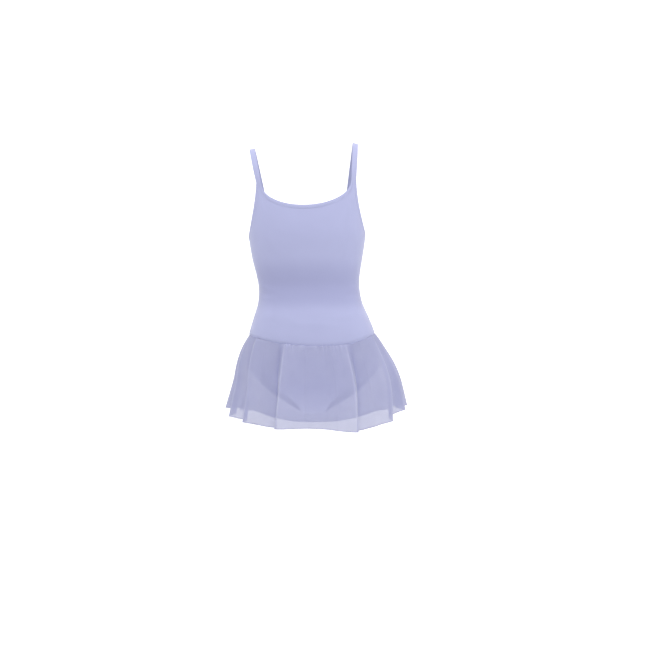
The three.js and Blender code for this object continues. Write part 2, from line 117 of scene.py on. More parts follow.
def read(table: Table, at: np.ndarray) -> np.ndarray:
    """Reads a table smoothly between its rows.

    Args:
        table: Rows whose first number is the key, in any order.
        at: The keys to read at.

    Returns:
        The other columns at each key, along a last axis.
    """
    rows = np.array(sorted(table))
    keys, values = rows[:, 0], rows[:, 1:]
    number = np.arange(len(keys))
    before = np.maximum(number - 1, 0)
    after = np.minimum(number + 1, len(keys) - 1)
    slopes = (values[after] - values[before]) / (keys[after] - keys[before])[:, None]
    i = np.clip(np.searchsorted(keys, at, side="right") - 1, 0, len(keys) - 2)
    span = (keys[i + 1] - keys[i])[..., None]
    t = np.clip((at - keys[i])[..., None] / span, 0, 1)
    change = values[i + 1] - values[i]
    first = slopes[i] * span
    last = slopes[i + 1] * span
    bend = t * t * (3 * change - 2 * first - last) + t**3 * (first + last - 2 * change)
    return values[i] + t * first + bend


def grid_normals(points: np.ndarray) -> np.ndarray:
    """Gives the outward directions of a grid whose rows run upwards and columns anticlockwise."""
    across = np.gradient(points, axis=1)
    upwards = np.gradient(points, axis=0)
    return unit(np.cross(across, upwards))


def line_lengths(line: np.ndarray) -> np.ndarray:
    """Gives the run along a line of points up to each of them."""
    steps = np.linalg.norm(np.diff(line, axis=0), axis=1)
    return np.concatenate([[0], np.cumsum(steps)])


def spread(line: np.ndarray, runs: np.ndarray) -> np.ndarray:
    """Gives the points of a line at some runs along it."""
    lengths = line_lengths(line)
    return np.stack([np.interp(runs, lengths, line[:, k]) for k in range(line.shape[1])], axis=1)


def smooth_line(stops: np.ndarray, steps: int) -> np.ndarray:
    """Draws a centripetal curve through stops and spreads points evenly along it.

    Args:
        stops: The points that the curve passes through.
        steps: How many equal steps the curve is cut into.

    Returns:
        The points of the curve, one more than the steps.
    """
    ends = [2 * stops[0] - stops[1], *stops, 2 * stops[-1] - stops[-2]]
    fine = []
    for p0, p1, p2, p3 in zip(ends, ends[1:], ends[2:], ends[3:]):
        d0, d1, d2 = (np.sqrt(np.linalg.norm(b - a)) for a, b in ((p0, p1), (p1, p2), (p2, p3)))
        leave = ((p1 - p0) / d0 - (p2 - p0) / (d0 + d1) + (p2 - p1) / d1) * d1
        arrive = ((p2 - p1) / d1 - (p3 - p1) / (d1 + d2) + (p3 - p2) / d2) * d1
        t = np.linspace(0, 1, CURVE_STEPS)[:, None]
        bend = t**2 * (3 * (p2 - p1) - 2 * leave - arrive) + t**3 * (2 * (p1 - p2) + leave + arrive)
        fine.append(p1 + t * leave + bend)
    line = np.concatenate(fine)
    return spread(line, np.linspace(0, line_lengths(line)[-1], steps + 1))


@dataclass(frozen=True)
class Form:
    """The general figure's form that the cloth is worn on.

    Each level gives its height, the lean of the centre line to the wearer's left, half the width, and how far
    front and back stand from the side seams.
    """

    square: float = 2.4
    seam_side: float = -431.5
    seam_tilt: float = 2.5
    seam_dip_front: float = 27.5
    seam_dip_back: float = 12
    seam_dip_shift: float = radians(8)
    levels: Table = (
        (-60, 4.5, 141, 68, 80),
        (-88, 4.5, 140, 73, 85),
        (-138, 4.5, 137, 83, 92),
        (-175, 5, 135.5, 87, 95),
        (-212, 6, 133.5, 88, 94),
        (-260, 6.5, 126, 84, 87),
        (-300, 8.5, 118, 79, 80),
        (-327, 10.8, 115.5, 76, 77),
        (-360, 13.2, 119.5, 79, 81),
        (-400, 16, 134, 87, 93),
        (-432, 17.5, 144.5, 92, 102),
        (-460, 18.5, 149, 94, 107),
        (-490, 19.5, 152, 95, 111),
        (-520, 20.5, 153, 95, 112),
    )

    def point(self, angle: np.ndarray, z: np.ndarray) -> np.ndarray:
        """Gives the form's surface at an angle from the front centre and a height."""
        angle, z = np.broadcast_arrays(angle, z)
        lean, half, front, back = np.moveaxis(read(self.levels, z), -1, 0)
        depth = np.where(np.cos(angle) > 0, front, back)
        x = lean + half * power(np.sin(angle), 2 / self.square)
        y = -depth * power(np.cos(angle), 2 / self.square)
        return np.stack([x, y, z.astype(float)], axis=-1)

    def normal(self, angle: np.ndarray, z: np.ndarray) -> np.ndarray:
        """Gives the form's outward direction at an angle and a height."""
        across = self.point(angle + ANGLE_STEP, z) - self.point(angle - ANGLE_STEP, z)
        upwards = self.point(angle, z + HEIGHT_STEP) - self.point(angle, z - HEIGHT_STEP)
        return unit(np.cross(across, upwards))

    def angle_across(self, x: np.ndarray, z: np.ndarray) -> np.ndarray:
        """Gives the angle from a panel's centre at which the form lies a distance to its side."""
        half = read(self.levels, z)[..., 1]
        return np.arcsin(power(x / half, self.square / 2))

    def seam_height(self, angle: np.ndarray) -> np.ndarray:
        """Gives the height of the hip seam at an angle."""
        dip = np.where(np.cos(angle) > 0, self.seam_dip_front, self.seam_dip_back)
        towards_centre = np.cos(angle - self.seam_dip_shift * np.cos(angle))
        return self.seam_side + self.seam_tilt * np.sin(angle) - dip * towards_centre**2


FORM = Form()


@dataclass(frozen=True)
class Crease:
    """A soft ridge between two places, or a trough where its height is negative.

    The places are degrees from the front centre and a height, or a share of the skirt's drop.
    Stretch says how many units of the second number make one degree.
    """

    start: tuple[float, float]
    end: tuple[float, float]
    height: float
    width: float
    stretch: float = 2.1
    end_fade: float = 0.55
    fullest: float = 0.9

    def lift(self, degrees: np.ndarray, level: np.ndarray) -> np.ndarray:
        """Says how far the crease lifts the cloth at some places.

        Args:
            degrees: Angles from the front centre.
            level: Heights, or shares of the drop.

        Returns:
            The lift in millimetres.
        """
        along = np.array([(self.end[0] - self.start[0]) * self.stretch, self.end[1] - self.start[1]])
        place_x = (degrees - self.start[0]) * self.stretch
        place_y = level - self.start[1]
        length = np.hypot(*along)
        run = (place_x * along[0] + place_y * along[1]) / length**2
        aside = (place_x * along[1] - place_y * along[0]) / length
        beyond = np.maximum(np.abs(run - 0.5) - 0.5, 0) * length
        ends = 1 - self.end_fade * np.abs(2 * np.clip(run, 0, 1) - self.fullest)
        return self.height * ends * np.exp(-(aside**2 + beyond**2) / self.width**2)


def creased(creases: tuple[Crease, ...], degrees: np.ndarray, level: np.ndarray) -> np.ndarray:
    """Adds up what some creases lift the cloth by."""
    return sum((crease.lift(degrees, level) for crease in creases), np.zeros(np.shape(degrees)))


class Cloth:
    """The outer surface of one or more made sheets in millimetres, which other pieces are sewn to."""

    def __init__(self, *grids: np.ndarray) -> None:
        """Keeps the grids of points and readies them for finding the nearest place."""
        self.points = grids[0]
        vertices, faces = [], []
        for grid in grids:
            rows, columns = grid.shape[:2]
            first = len(vertices)
            corners = [first + i * columns + j for i in range(rows - 1) for j in range(columns - 1)]
            faces += [(k, k + 1, k + 1 + columns, k + columns) for k in corners]
            vertices += grid.reshape(-1, 3).tolist()
        self.tree = BVHTree.FromPolygons(vertices, faces)

    def nearest(self, points: np.ndarray) -> tuple[np.ndarray, np.ndarray]:
        """Finds the nearest places on the cloth and the outward directions there.

        Args:
            points: Points near the cloth, on the last axis.

        Returns:
            The places and the directions, in the same layout.
        """
        places, normals = [], []
        for point in points.reshape(-1, 3):
            place, normal, _, _ = self.tree.find_nearest(Vector(point))
            places.append(tuple(place))
            normals.append(tuple(normal))
        return np.array(places).reshape(points.shape), np.array(normals).reshape(points.shape)


class Workroom:
    """The steps that every piece is made with."""

    tube_sides = 8
    tube_end = 0.02
    tube_guide = (0.3, 0.2, 0.93)
    merge_distance = 0.05 * MM
    stitch_size = (0.8, 0.24, 0.2)
    stitch_shoulder = 0.3
    stitch_reach = 0.4

    @staticmethod
    def clear_selection() -> None:
        """Deselects every object."""
        bpy.ops.object.select_all(action="DESELECT")

    @staticmethod
    def sheet(name: str, points: np.ndarray, cut: Cut) -> bpy.types.Object:
        """Lays a flat grid on to its worn shape.

        Args:
            name: The piece's name.
            points: The worn places in millimetres, rows upwards and columns anticlockwise.
            cut: Width and length of the flat cut in millimetres, which the UV map measures in metres.

        Returns:
            The new object.
        """
        rows, columns = points.shape[0] - 1, points.shape[1] - 1
        Workroom.clear_selection()
        bpy.ops.mesh.primitive_grid_add(x_subdivisions=columns, y_subdivisions=rows, size=1, calc_uvs=True)
        piece = bpy.context.active_object
        piece.name = name
        mesh = piece.data
        mesh.name = name
        place = np.empty(len(mesh.vertices) * 3)
        mesh.vertices.foreach_get("co", place)
        place = place.reshape(-1, 3)
        j = np.rint((place[:, 0] + 0.5) * columns).astype(int)
        i = np.rint((place[:, 1] + 0.5) * rows).astype(int)
        mesh.vertices.foreach_set("co", (points[i, j] * MM).ravel())
        chart = mesh.uv_layers.active.data
        places = np.empty(len(chart) * 2)
        chart.foreach_get("uv", places)
        chart.foreach_set("uv", (places.reshape(-1, 2) * np.array(cut) * MM).ravel())
        mesh.update()
        bpy.ops.object.shade_smooth()
        return piece

    @staticmethod
    def mark(piece: bpy.types.Object, name: str, painted_light_marks: np.ndarray) -> None:
        """Writes a value from 0 to 1 on each point of a sheet, for its finish to read."""
        attribute = piece.data.attributes.new(name, "FLOAT", "POINT")
        attribute.data.foreach_set("value", painted_light_marks.ravel())

    @staticmethod
    def apply(piece: bpy.types.Object, kind: str, **settings: float) -> None:
        """Adds a modifier to a piece and applies it."""
        modifier = piece.modifiers.new(kind.title(), kind)
        for key, value in settings.items():
            setattr(modifier, key, value)
        bpy.context.view_layer.objects.active = piece
        bpy.ops.object.modifier_apply(modifier=modifier.name)

    @staticmethod
    def thicken(piece: bpy.types.Object, wall: float, rounding: float) -> None:
        """Gives a sheet a wall behind its face, with softly rounded rims.

        Args:
            piece: The sheet.
            wall: The wall's thickness in millimetres.
            rounding: How far the rims are rounded, in millimetres.
        """
        Workroom.apply(piece, "SOLIDIFY", thickness=wall * MM, offset=-1.0, material_offset=1)
        Workroom.apply(
            piece,
            "BEVEL",
            width=rounding * MM,
            segments=2,
            limit_method="ANGLE",
            angle_limit=RIM_ANGLE,
            use_clamp_overlap=True,
        )
        Workroom.clear_selection()
        piece.select_set(True)
        bpy.ops.object.shade_smooth_by_angle(angle=RIM_ANGLE)

    @staticmethod
    def tube(name: str, line: np.ndarray, radius: float) -> bpy.types.Object:
        """Rolls a narrow strip into a round tube along a line, closed at its ends.

        Args:
            name: The piece's name.
            line: The centre line in millimetres.
            radius: The tube's radius in millimetres.

        Returns:
            The new object.
        """
        along = unit(np.gradient(line, axis=0))
        aside = unit(np.cross(along, np.array(Workroom.tube_guide)))
        upright = np.cross(aside, along)
        turn = np.linspace(0, 2 * pi, Workroom.tube_sides + 1)[:, None, None]
        swell = np.ones(len(line))
        swell[[0, -1]] = Workroom.tube_end
        ring = (np.cos(turn) * aside + np.sin(turn) * upright) * (radius * swell)[None, :, None]
        piece = Workroom.sheet(name, line[None] + ring, (line_lengths(line)[-1], 2 * pi * radius))
        bpy.ops.object.mode_set(mode="EDIT")
        bpy.ops.mesh.select_all(action="SELECT")
        bpy.ops.mesh.remove_doubles(threshold=Workroom.merge_distance)
        bpy.ops.mesh.normals_make_consistent(inside=False)
        bpy.ops.object.mode_set(mode="OBJECT")
        return piece

    @staticmethod
    def stitches(name: str, rows: Rows, pitch: float) -> bpy.types.Object:
        """Sews rows of thread stitches, each a small padded lozenge that dips into the cloth at both ends.

        Args:
            name: The piece's name.
            rows: For each row, the points of its line and the cloth's outward directions there.
            pitch: The distance from one stitch to the next in millimetres.

        Returns:
            The new object.
        """
        shape = [(-0.5, 0, -0.5), (0.5, 0, -0.5)]
        for along in (-Workroom.stitch_shoulder, Workroom.stitch_shoulder):
            shape += [(along, aside, up) for aside, up in ((1, 0), (0, 1), (-1, 0), (0, -1))]
        length, width, height = Workroom.stitch_size
        template = np.array(shape) * np.array([pitch * length, width, height])
        faces = []
        for k in range(4):
            near, far = 2 + k, 2 + (k + 1) % 4
            faces += [(0, far, near), (near, far, far + 4, near + 4), (1, near + 4, far + 4)]
        vertices, polygons = [], []
        for line, normals in rows:
            lengths = line_lengths(line)
            middles = np.arange(pitch / 2, lengths[-1], pitch)
            centres = spread(line, middles)
            reach = Workroom.stitch_reach
            tangents = unit(spread(line, middles + reach) - spread(line, middles - reach))
            ups = unit(np.stack([np.interp(middles, lengths, normals[:, k]) for k in range(3)], axis=1))
            sides = unit(np.cross(ups, tangents))
            for centre, tangent, aside, up in zip(centres, tangents, sides, ups):
                start = len(vertices)
                placed = centre + template @ np.stack([tangent, aside, up])
                vertices += (placed * MM).tolist()
                polygons += [tuple(start + corner for corner in face) for face in faces]
        mesh = bpy.data.meshes.new(name)
        mesh.from_pydata(vertices, [], polygons)
        mesh.update()
        piece = bpy.data.objects.new(name, mesh)
        bpy.context.scene.collection.objects.link(piece)
        Workroom.clear_selection()
        piece.select_set(True)
        bpy.context.view_layer.objects.active = piece
        bpy.ops.object.shade_smooth()
        return piece

    @staticmethod
    def settle(piece: bpy.types.Object, slot: str, *nodes: str) -> bpy.types.Object:
        """Rides a piece on the dress, hides the solids that it stands for, and reports it."""
        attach(piece, "root")
        if nodes:
            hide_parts(*nodes)
        LOG.info("%s: %d faces", piece.name, len(piece.data.polygons))
        return piece


class NodeKit:
    """Short ways to place and join shader nodes in one tree."""

    def __init__(self, tree: bpy.types.NodeTree) -> None:
        """Keeps the tree that the nodes go into."""
        self.tree = tree

    def add(self, kind: str, **settings: object) -> bpy.types.Node:
        """Places a node and sets its options."""
        node = self.tree.nodes.new(kind)
        for key, value in settings.items():
            setattr(node, key, value)
        return node

    def join(self, source: bpy.types.NodeSocket, target: bpy.types.NodeSocket) -> None:
        """Joins two sockets."""
        self.tree.links.new(source, target)

    def feed(self, value: object, target: bpy.types.NodeSocket) -> None:
        """Joins a socket to a target, or sets the target to a plain value."""
        if isinstance(value, bpy.types.NodeSocket):
            self.join(value, target)
        else:
            target.default_value = value

    def math(self, operation: str, first: object, second: object = 0.0) -> bpy.types.NodeSocket:
        """Works out one sum from two sockets or numbers."""
        node = self.add("ShaderNodeMath", operation=operation)
        self.feed(first, node.inputs[0])
        self.feed(second, node.inputs[1])
        return node.outputs[0]

    def noise(self, vector: object, scale: float, detail: float) -> bpy.types.NodeSocket:
        """Gives a smooth noise from 0 to 1."""
        node = self.add("ShaderNodeTexNoise")
        self.feed(vector, node.inputs["Vector"])
        node.inputs["Scale"].default_value = scale
        node.inputs["Detail"].default_value = detail
        return node.outputs["Fac"]

    def mix(self, part: object, first: object, second: object) -> bpy.types.NodeSocket:
        """Mixes two colours."""
        node = self.add("ShaderNodeMix", data_type="RGBA")
        self.feed(part, node.inputs[0])
        self.feed(first, node.inputs[6])
        self.feed(second, node.inputs[7])
        return node.outputs[2]

    def zigzag(self, turns: object) -> bpy.types.NodeSocket:
        """Turns a count of rounds into waves that fall from 1 to 0 and rise again, one for each round."""
        share = self.math("MULTIPLY", self.math("FRACT", turns), 2.0)
        return self.math("ABSOLUTE", self.math("SUBTRACT", share, 1.0))

    def blend(self, first: object, second: object, share: float) -> bpy.types.NodeSocket:
        """Adds a share of the first value to the rest of the second."""
        return self.math("ADD", self.math("MULTIPLY", first, share), self.math("MULTIPLY", second, 1 - share))

    def ranged(self, value: object, middle: float, span: float) -> bpy.types.NodeSocket:
        """Spreads a value from 0 to 1 over a span round a middle."""
        return self.math("ADD", self.math("MULTIPLY", value, span), middle - span / 2)


def new_group(name: str, inputs: dict[str, float], outputs: dict[str, str]) -> bpy.types.NodeTree:
    """Starts a shader node group.

    Args:
        name: The group's name.
        inputs: Names of its number inputs with their usual values.
        outputs: Names of its outputs with their socket types.

    Returns:
        The group, with a Place vector input before the numbers.
    """
    group = bpy.data.node_groups.new(name, "ShaderNodeTree")
    group.interface.new_socket("Place", in_out="INPUT", socket_type="NodeSocketVector")
    for key, value in inputs.items():
        socket = group.interface.new_socket(key, in_out="INPUT", socket_type="NodeSocketFloat")
        socket.default_value = value
    for key, kind in outputs.items():
        group.interface.new_socket(key, in_out="OUTPUT", socket_type=kind)
    return group


def build_knit_group() -> bpy.types.NodeTree:
    """Builds the fine jersey knit: columns of small V-shaped loops, their height, and an uneven shade with
    painted shade between the loops and paler loop tops.
    """
    group = new_group(
        "knit",
        {"Wale": 0.9 * MM, "Course": 0.75 * MM, "Unevenness": 1.0},
        {"Height": "NodeSocketFloat", "Shade": "NodeSocketFloat"},
    )
    kit = NodeKit(group)
    given = kit.add("NodeGroupInput")
    out = kit.add("NodeGroupOutput")
    split = kit.add("ShaderNodeSeparateXYZ")
    kit.join(given.outputs["Place"], split.inputs[0])
    across = kit.zigzag(kit.math("DIVIDE", split.outputs[0], given.outputs["Wale"]))
    rise = kit.zigzag(kit.math("ADD", kit.math("DIVIDE", split.outputs[1], given.outputs["Course"]), across))
    column = kit.math("SUBTRACT", 1.0, kit.math("MULTIPLY", across, across))
    height = kit.blend(column, rise, 0.65)
    kit.join(height, out.inputs["Height"])
    both = kit.blend(kit.noise(given.outputs["Place"], 900, 3), kit.noise(given.outputs["Place"], 22, 2), 0.6)
    uneven = kit.math("MULTIPLY", kit.math("SUBTRACT", both, 0.5), given.outputs["Unevenness"])
    # Painted shade between the loops, and paler loop tops, from the knit's height.
    painted_loop_shade = kit.math("MULTIPLY", kit.math("SUBTRACT", height, 0.6), 0.25)
    kit.join(kit.math("ADD", kit.math("ADD", uneven, painted_loop_shade), 0.5), out.inputs["Shade"])
    return group


def build_weave_group() -> bpy.types.NodeTree:
    """Builds the chiffon's plain weave: the height and closeness of its threads, and an uneven shade."""
    group = new_group(
        "weave",
        {"Pitch": 0.42 * MM, "Unevenness": 1.0},
        {"Height": "NodeSocketFloat", "Closeness": "NodeSocketFloat", "Shade": "NodeSocketFloat"},
    )
    kit = NodeKit(group)
    given = kit.add("NodeGroupInput")
    out = kit.add("NodeGroupOutput")
    split = kit.add("ShaderNodeSeparateXYZ")
    kit.join(given.outputs["Place"], split.inputs[0])
    threads = [kit.zigzag(kit.math("DIVIDE", split.outputs[k], given.outputs["Pitch"])) for k in range(2)]
    height = kit.math("MAXIMUM", *threads)
    kit.join(height, out.inputs["Height"])
    crepe = kit.noise(given.outputs["Place"], 1400, 2)
    kit.join(kit.blend(height, crepe, 0.6), out.inputs["Closeness"])
    both = kit.blend(crepe, kit.noise(given.outputs["Place"], 30, 2), 0.5)
    uneven = kit.math("MULTIPLY", kit.math("SUBTRACT", both, 0.5), given.outputs["Unevenness"])
    kit.join(kit.math("ADD", uneven, 0.5), out.inputs["Shade"])
    return group


@dataclass(frozen=True)
class ClothFinish:
    """What jersey and chiffon share: a range of colour and roughness, the threads' relief, and a sheen."""

    name: str
    dark: Colour
    light: Colour
    roughness: float = 0.78
    roughness_span: float = 0.16
    sheen: float = 0.4
    sheen_roughness: float = 0.5
    specular: float = 0.25
    bump: float = 0.35
    bump_depth: float = 0.12 * MM

    def start(self, threads: bpy.types.NodeTree) -> tuple[bpy.types.Material, NodeKit, bpy.types.Node]:
        """Starts the material with all but its colour.

        Args:
            threads: The node group of the knit or the weave, which lies on the piece's UV map.

        Returns:
            The new material, its node kit and the group's node.
        """
        material = bpy.data.materials.new(self.name)
        material.use_nodes = True
        kit = NodeKit(material.node_tree)
        inputs = material.node_tree.nodes["Principled BSDF"].inputs
        group = kit.add("ShaderNodeGroup", node_tree=threads)
        kit.join(kit.add("ShaderNodeUVMap").outputs["UV"], group.inputs["Place"])
        kit.join(kit.ranged(group.outputs["Shade"], self.roughness, self.roughness_span), inputs["Roughness"])
        bump = kit.add("ShaderNodeBump")
        bump.inputs["Strength"].default_value = self.bump
        bump.inputs["Distance"].default_value = self.bump_depth
        kit.join(group.outputs["Height"], bump.inputs["Height"])
        kit.join(bump.outputs["Normal"], inputs["Normal"])
        inputs["Sheen Weight"].default_value = self.sheen
        inputs["Sheen Roughness"].default_value = self.sheen_roughness
        inputs["Specular IOR Level"].default_value = self.specular
        return material, kit, group


@dataclass(frozen=True)
class JerseyFinish(ClothFinish):
    """Matt stretch jersey.

    Its colour is darkened by painted shade round the narrow waist, as the waist shade mark on its points
    says.
    """

    # The deeper colour that paints shade round the waist.
    waist_shade_colour: Colour = (0.362, 0.377, 0.608, 1)

    def material(self, knit: bpy.types.NodeTree) -> bpy.types.Material:
        """Builds the material on the knit's node group."""
        material, kit, group = self.start(knit)
        inputs = material.node_tree.nodes["Principled BSDF"].inputs
        # Painted shade: the knit's colour is mixed towards a deeper one round the narrow waist, as far as the
        # mark on the point says.
        painted_waist_shade = kit.add("ShaderNodeAttribute", attribute_name=WAIST_SHADE_MARK).outputs["Fac"]
        stretched = kit.mix(group.outputs["Shade"], self.dark, self.light)
        kit.join(kit.mix(painted_waist_shade, stretched, self.waist_shade_colour), inputs["Base Color"])
        return material


@dataclass(frozen=True)
class ChiffonFinish(ClothFinish):
    """Sheer chiffon, whose weave lets part of the light through.

    Its colour holds painted shade where a fold turns back and towards the sagging middle of the centre
    panels, and painted highlights along the ridges and on the gathers at the seam, as the fold light mark on
    its points says.
    """

    roughness: float = 0.75
    roughness_span: float = 0.1
    sheen: float = 0.8
    sheen_roughness: float = 0.3
    bump: float = 0.3
    bump_depth: float = 0.08 * MM
    cover: float = 0.79
    cover_span: float = 0.1
    weave_share: float = 0.5

    def material(self, weave: bpy.types.NodeTree) -> bpy.types.Material:
        """Builds the material on the weave's node group."""
        material, kit, group = self.start(weave)
        inputs = material.node_tree.nodes["Principled BSDF"].inputs
        # Painted shade and painted highlights of the folds move the colour between its dark and light ends.
        fold = kit.add("ShaderNodeAttribute", attribute_name=FOLD_LIGHT_MARK).outputs["Fac"]
        shade = kit.math("MULTIPLY", kit.math("SUBTRACT", group.outputs["Shade"], 0.5), self.weave_share)
        kit.join(kit.mix(kit.math("ADD", fold, shade), self.dark, self.light), inputs["Base Color"])
        kit.join(kit.ranged(group.outputs["Closeness"], self.cover, self.cover_span), inputs["Alpha"])
        return material


class Palette:
    """The finishes of the dress, each built once."""

    def __init__(self) -> None:
        """Builds the node groups and the materials."""
        knit = build_knit_group()
        weave = build_weave_group()
        jersey = JerseyFinish(
            name="lavender_jersey",
            dark=(0.4, 0.418, 0.65, 1),
            light=(0.47, 0.492, 0.735, 1),
        )
        inside = JerseyFinish(
            name="lavender_jersey_inside",
            dark=(0.4, 0.415, 0.64, 1),
            light=(0.47, 0.488, 0.72, 1),
            sheen=0.1,
        )
        edging = JerseyFinish(
            name="turned_edging",
            dark=(0.395, 0.413, 0.64, 1),
            light=(0.465, 0.486, 0.725, 1),
        )
        thread = JerseyFinish(
            name="sewing_thread",
            dark=(0.36, 0.376, 0.6, 1),
            light=(0.42, 0.438, 0.67, 1),
        )
        # The chiffon's dark and light ends also span its painted fold shade and highlights.
        chiffon = ChiffonFinish(
            name="sheer_chiffon",
            dark=(0.337, 0.352, 0.573, 1),
            light=(0.502, 0.514, 0.71, 1),
        )
        rolled = ChiffonFinish(
            name="rolled_chiffon_hem",
            dark=(0.37, 0.385, 0.58, 1),
            light=(0.47, 0.482, 0.68, 1),
            cover=0.95,
        )
        self.jersey, self.jersey_inside, self.edging, self.thread = (
            finish.material(knit) for finish in (jersey, inside, edging, thread)
        )
        self.chiffon, self.rolled = (finish.material(weave) for finish in (chiffon, rolled))

    def dress(self, piece: bpy.types.Object, *finishes: bpy.types.Material) -> None:
        """Gives a piece its materials in order."""
        piece.data.materials.clear()
        for finish in finishes:
            piece.data.materials.append(finish)

    def sew(self, name: str, rows: Rows) -> bpy.types.Object:
        """Sews rows of stitches and gives them their thread."""
        sewing = Workroom.stitches(name, rows, STITCH_PITCH)
        self.dress(sewing, self.thread)
        return Workroom.settle(sewing, "edging")


@dataclass(frozen=True)
class Bodice:
    """One half of the bodice, from the hip seam to the neckline, the armholes and the two strap peaks."""

    facing: Facing
    neck_half: float
    neck_depth: float
    peak: float
    cut: Cut
    creases: tuple[Crease, ...]
    underarm: float = -207
    armhole_bend: float = 0.7
    armhole_crowding: float = 1.5
    peak_width: float = 11.5
    shoulder_tilt: float = 0.03
    armhole_cells: int = 28
    peak_cells: int = 8
    neck_cells: int = 56
    rows: int = 110
    row_crowding: float = 1.12
    roll_height: float = 3.0
    roll_depth: float = 0.7
    side_run: float = 130
    side_dent: float = 0.35
    side_dent_width: float = 2.2
    filled: float = 0.62
    # Painted shade at the waist: none where the form is at least the first half width, the most at the
    # second.
    shade_free_half: float = 128
    full_shade_half: float = 115.5
    waist_shade_strength: float = 0.85

    def edge_place(self, off_centre: np.ndarray, z: np.ndarray) -> np.ndarray:
        """Gives angle and height of the top edge, from its angle off the centre and its level height."""
        angle = off_centre if self.facing is Facing.FRONT else pi - off_centre
        across = read(FORM.levels, z)[..., 1] * power(np.sin(angle), 2 / FORM.square)
        return np.stack([angle, z + self.shoulder_tilt * across], axis=-1)

    def armhole(self, side: Side, cells: int) -> np.ndarray:
        """Gives one armhole edge as angles and heights, from its side seam to the strap peak."""
        t = np.linspace(0, 1, cells + 1)
        peak_angle = FORM.angle_across(np.array(self.neck_half + self.peak_width), np.array(self.peak))
        down = (1 - t) ** self.armhole_crowding
        fall = (1 - (1 - down) ** 2) ** self.armhole_bend
        height = lerp(self.peak, self.underarm, fall)
        return self.edge_place(side.value * lerp(peak_angle, pi / 2, down), height)

    def neckline(self, cells: int) -> np.ndarray:
        """Gives the neckline as angles and heights, from the wearer's right to the left."""
        turn = np.linspace(-pi / 2, pi / 2, cells + 1)
        z = self.peak - self.neck_depth * np.cos(turn)
        return self.edge_place(FORM.angle_across(self.neck_half * np.sin(turn), z), z)

    def peak_edge(self, side: Side, cells: int) -> np.ndarray:
        """Gives the top of a strap peak from its neck corner to its armhole corner."""
        across = np.linspace(self.neck_half, self.neck_half + self.peak_width, cells + 1)
        peak = np.full(cells + 1, float(self.peak))
        return self.edge_place(side.value * FORM.angle_across(across, peak), peak)

    def top_edge(self) -> np.ndarray:
        """Gives the whole top edge anticlockwise, as angles and heights."""
        parts = [
            self.armhole(Side.RIGHT, self.armhole_cells),
            self.peak_edge(Side.RIGHT, self.peak_cells)[::-1][1:],
            self.neckline(self.neck_cells)[1:],
            self.peak_edge(Side.LEFT, self.peak_cells)[1:],
            self.armhole(Side.LEFT, self.armhole_cells)[::-1][1:],
        ]
        edge = np.concatenate(parts)
        return edge if self.facing is Facing.FRONT else edge[::-1]

    def worn_grid(self) -> np.ndarray:
        """Gives the panel's worn points, with its soft creases and its lower edge rolled in."""
        edge = self.top_edge()
        columns = len(edge)
        start = -pi / 2 if self.facing is Facing.FRONT else pi / 2
        even = start + np.linspace(0, pi, columns)[None, :]
        up = np.linspace(0, 1, self.rows + 1)[:, None] ** self.row_crowding
        angle = lerp(even, edge[None, :, 0], smooth(up))
        z = lerp(FORM.seam_height(angle), edge[None, :, 1], up)
        points = FORM.point(angle, z)
        lift = creased(self.creases, np.degrees(angle), z)
        above_seam = z - FORM.seam_height(angle)
        lift -= self.roll_depth * np.exp(-((above_seam / self.roll_height) ** 2))
        from_side = np.minimum(np.abs(angle - start), np.abs(start + pi - angle)) * self.side_run
        lift -= self.side_dent * np.exp(-((from_side / self.side_dent_width) ** 2))
        points = points + FORM.normal(angle, z) * lift[..., None]
        points[:, [0, -1], 1] = 0
        points[..., 1] += self.facing.value * SEAM_GAP / 2
        return points

    def waist_shade(self, points: np.ndarray) -> np.ndarray:
        """Gives the painted shade at its points, deepest round the narrow waist and none where the form
        widens.
        """
        half = read(FORM.levels, points[..., 2])[..., 1]
        return self.waist_shade_strength * smooth((self.shade_free_half - half) / (self.shade_free_half - self.full_shade_half))

    def build(self, palette: Palette) -> Cloth:
        """Makes and dresses the panel.

        Args:
            palette: The finishes.

        Returns:
            The panel's outer surface.
        """
        node = f"bodice_{self.facing.name.lower()}"
        points = self.worn_grid()
        piece = Workroom.sheet(f"{node}_panel", points, self.cut)
        # Writes the painted waist shade on to the panel's points.
        Workroom.mark(piece, WAIST_SHADE_MARK, self.waist_shade(points))
        Workroom.thicken(piece, JERSEY_WALL, JERSEY_ROUNDING)
        palette.dress(piece, palette.jersey, palette.jersey_inside)
        Workroom.settle(piece, "jersey", node)
        return Cloth(points)


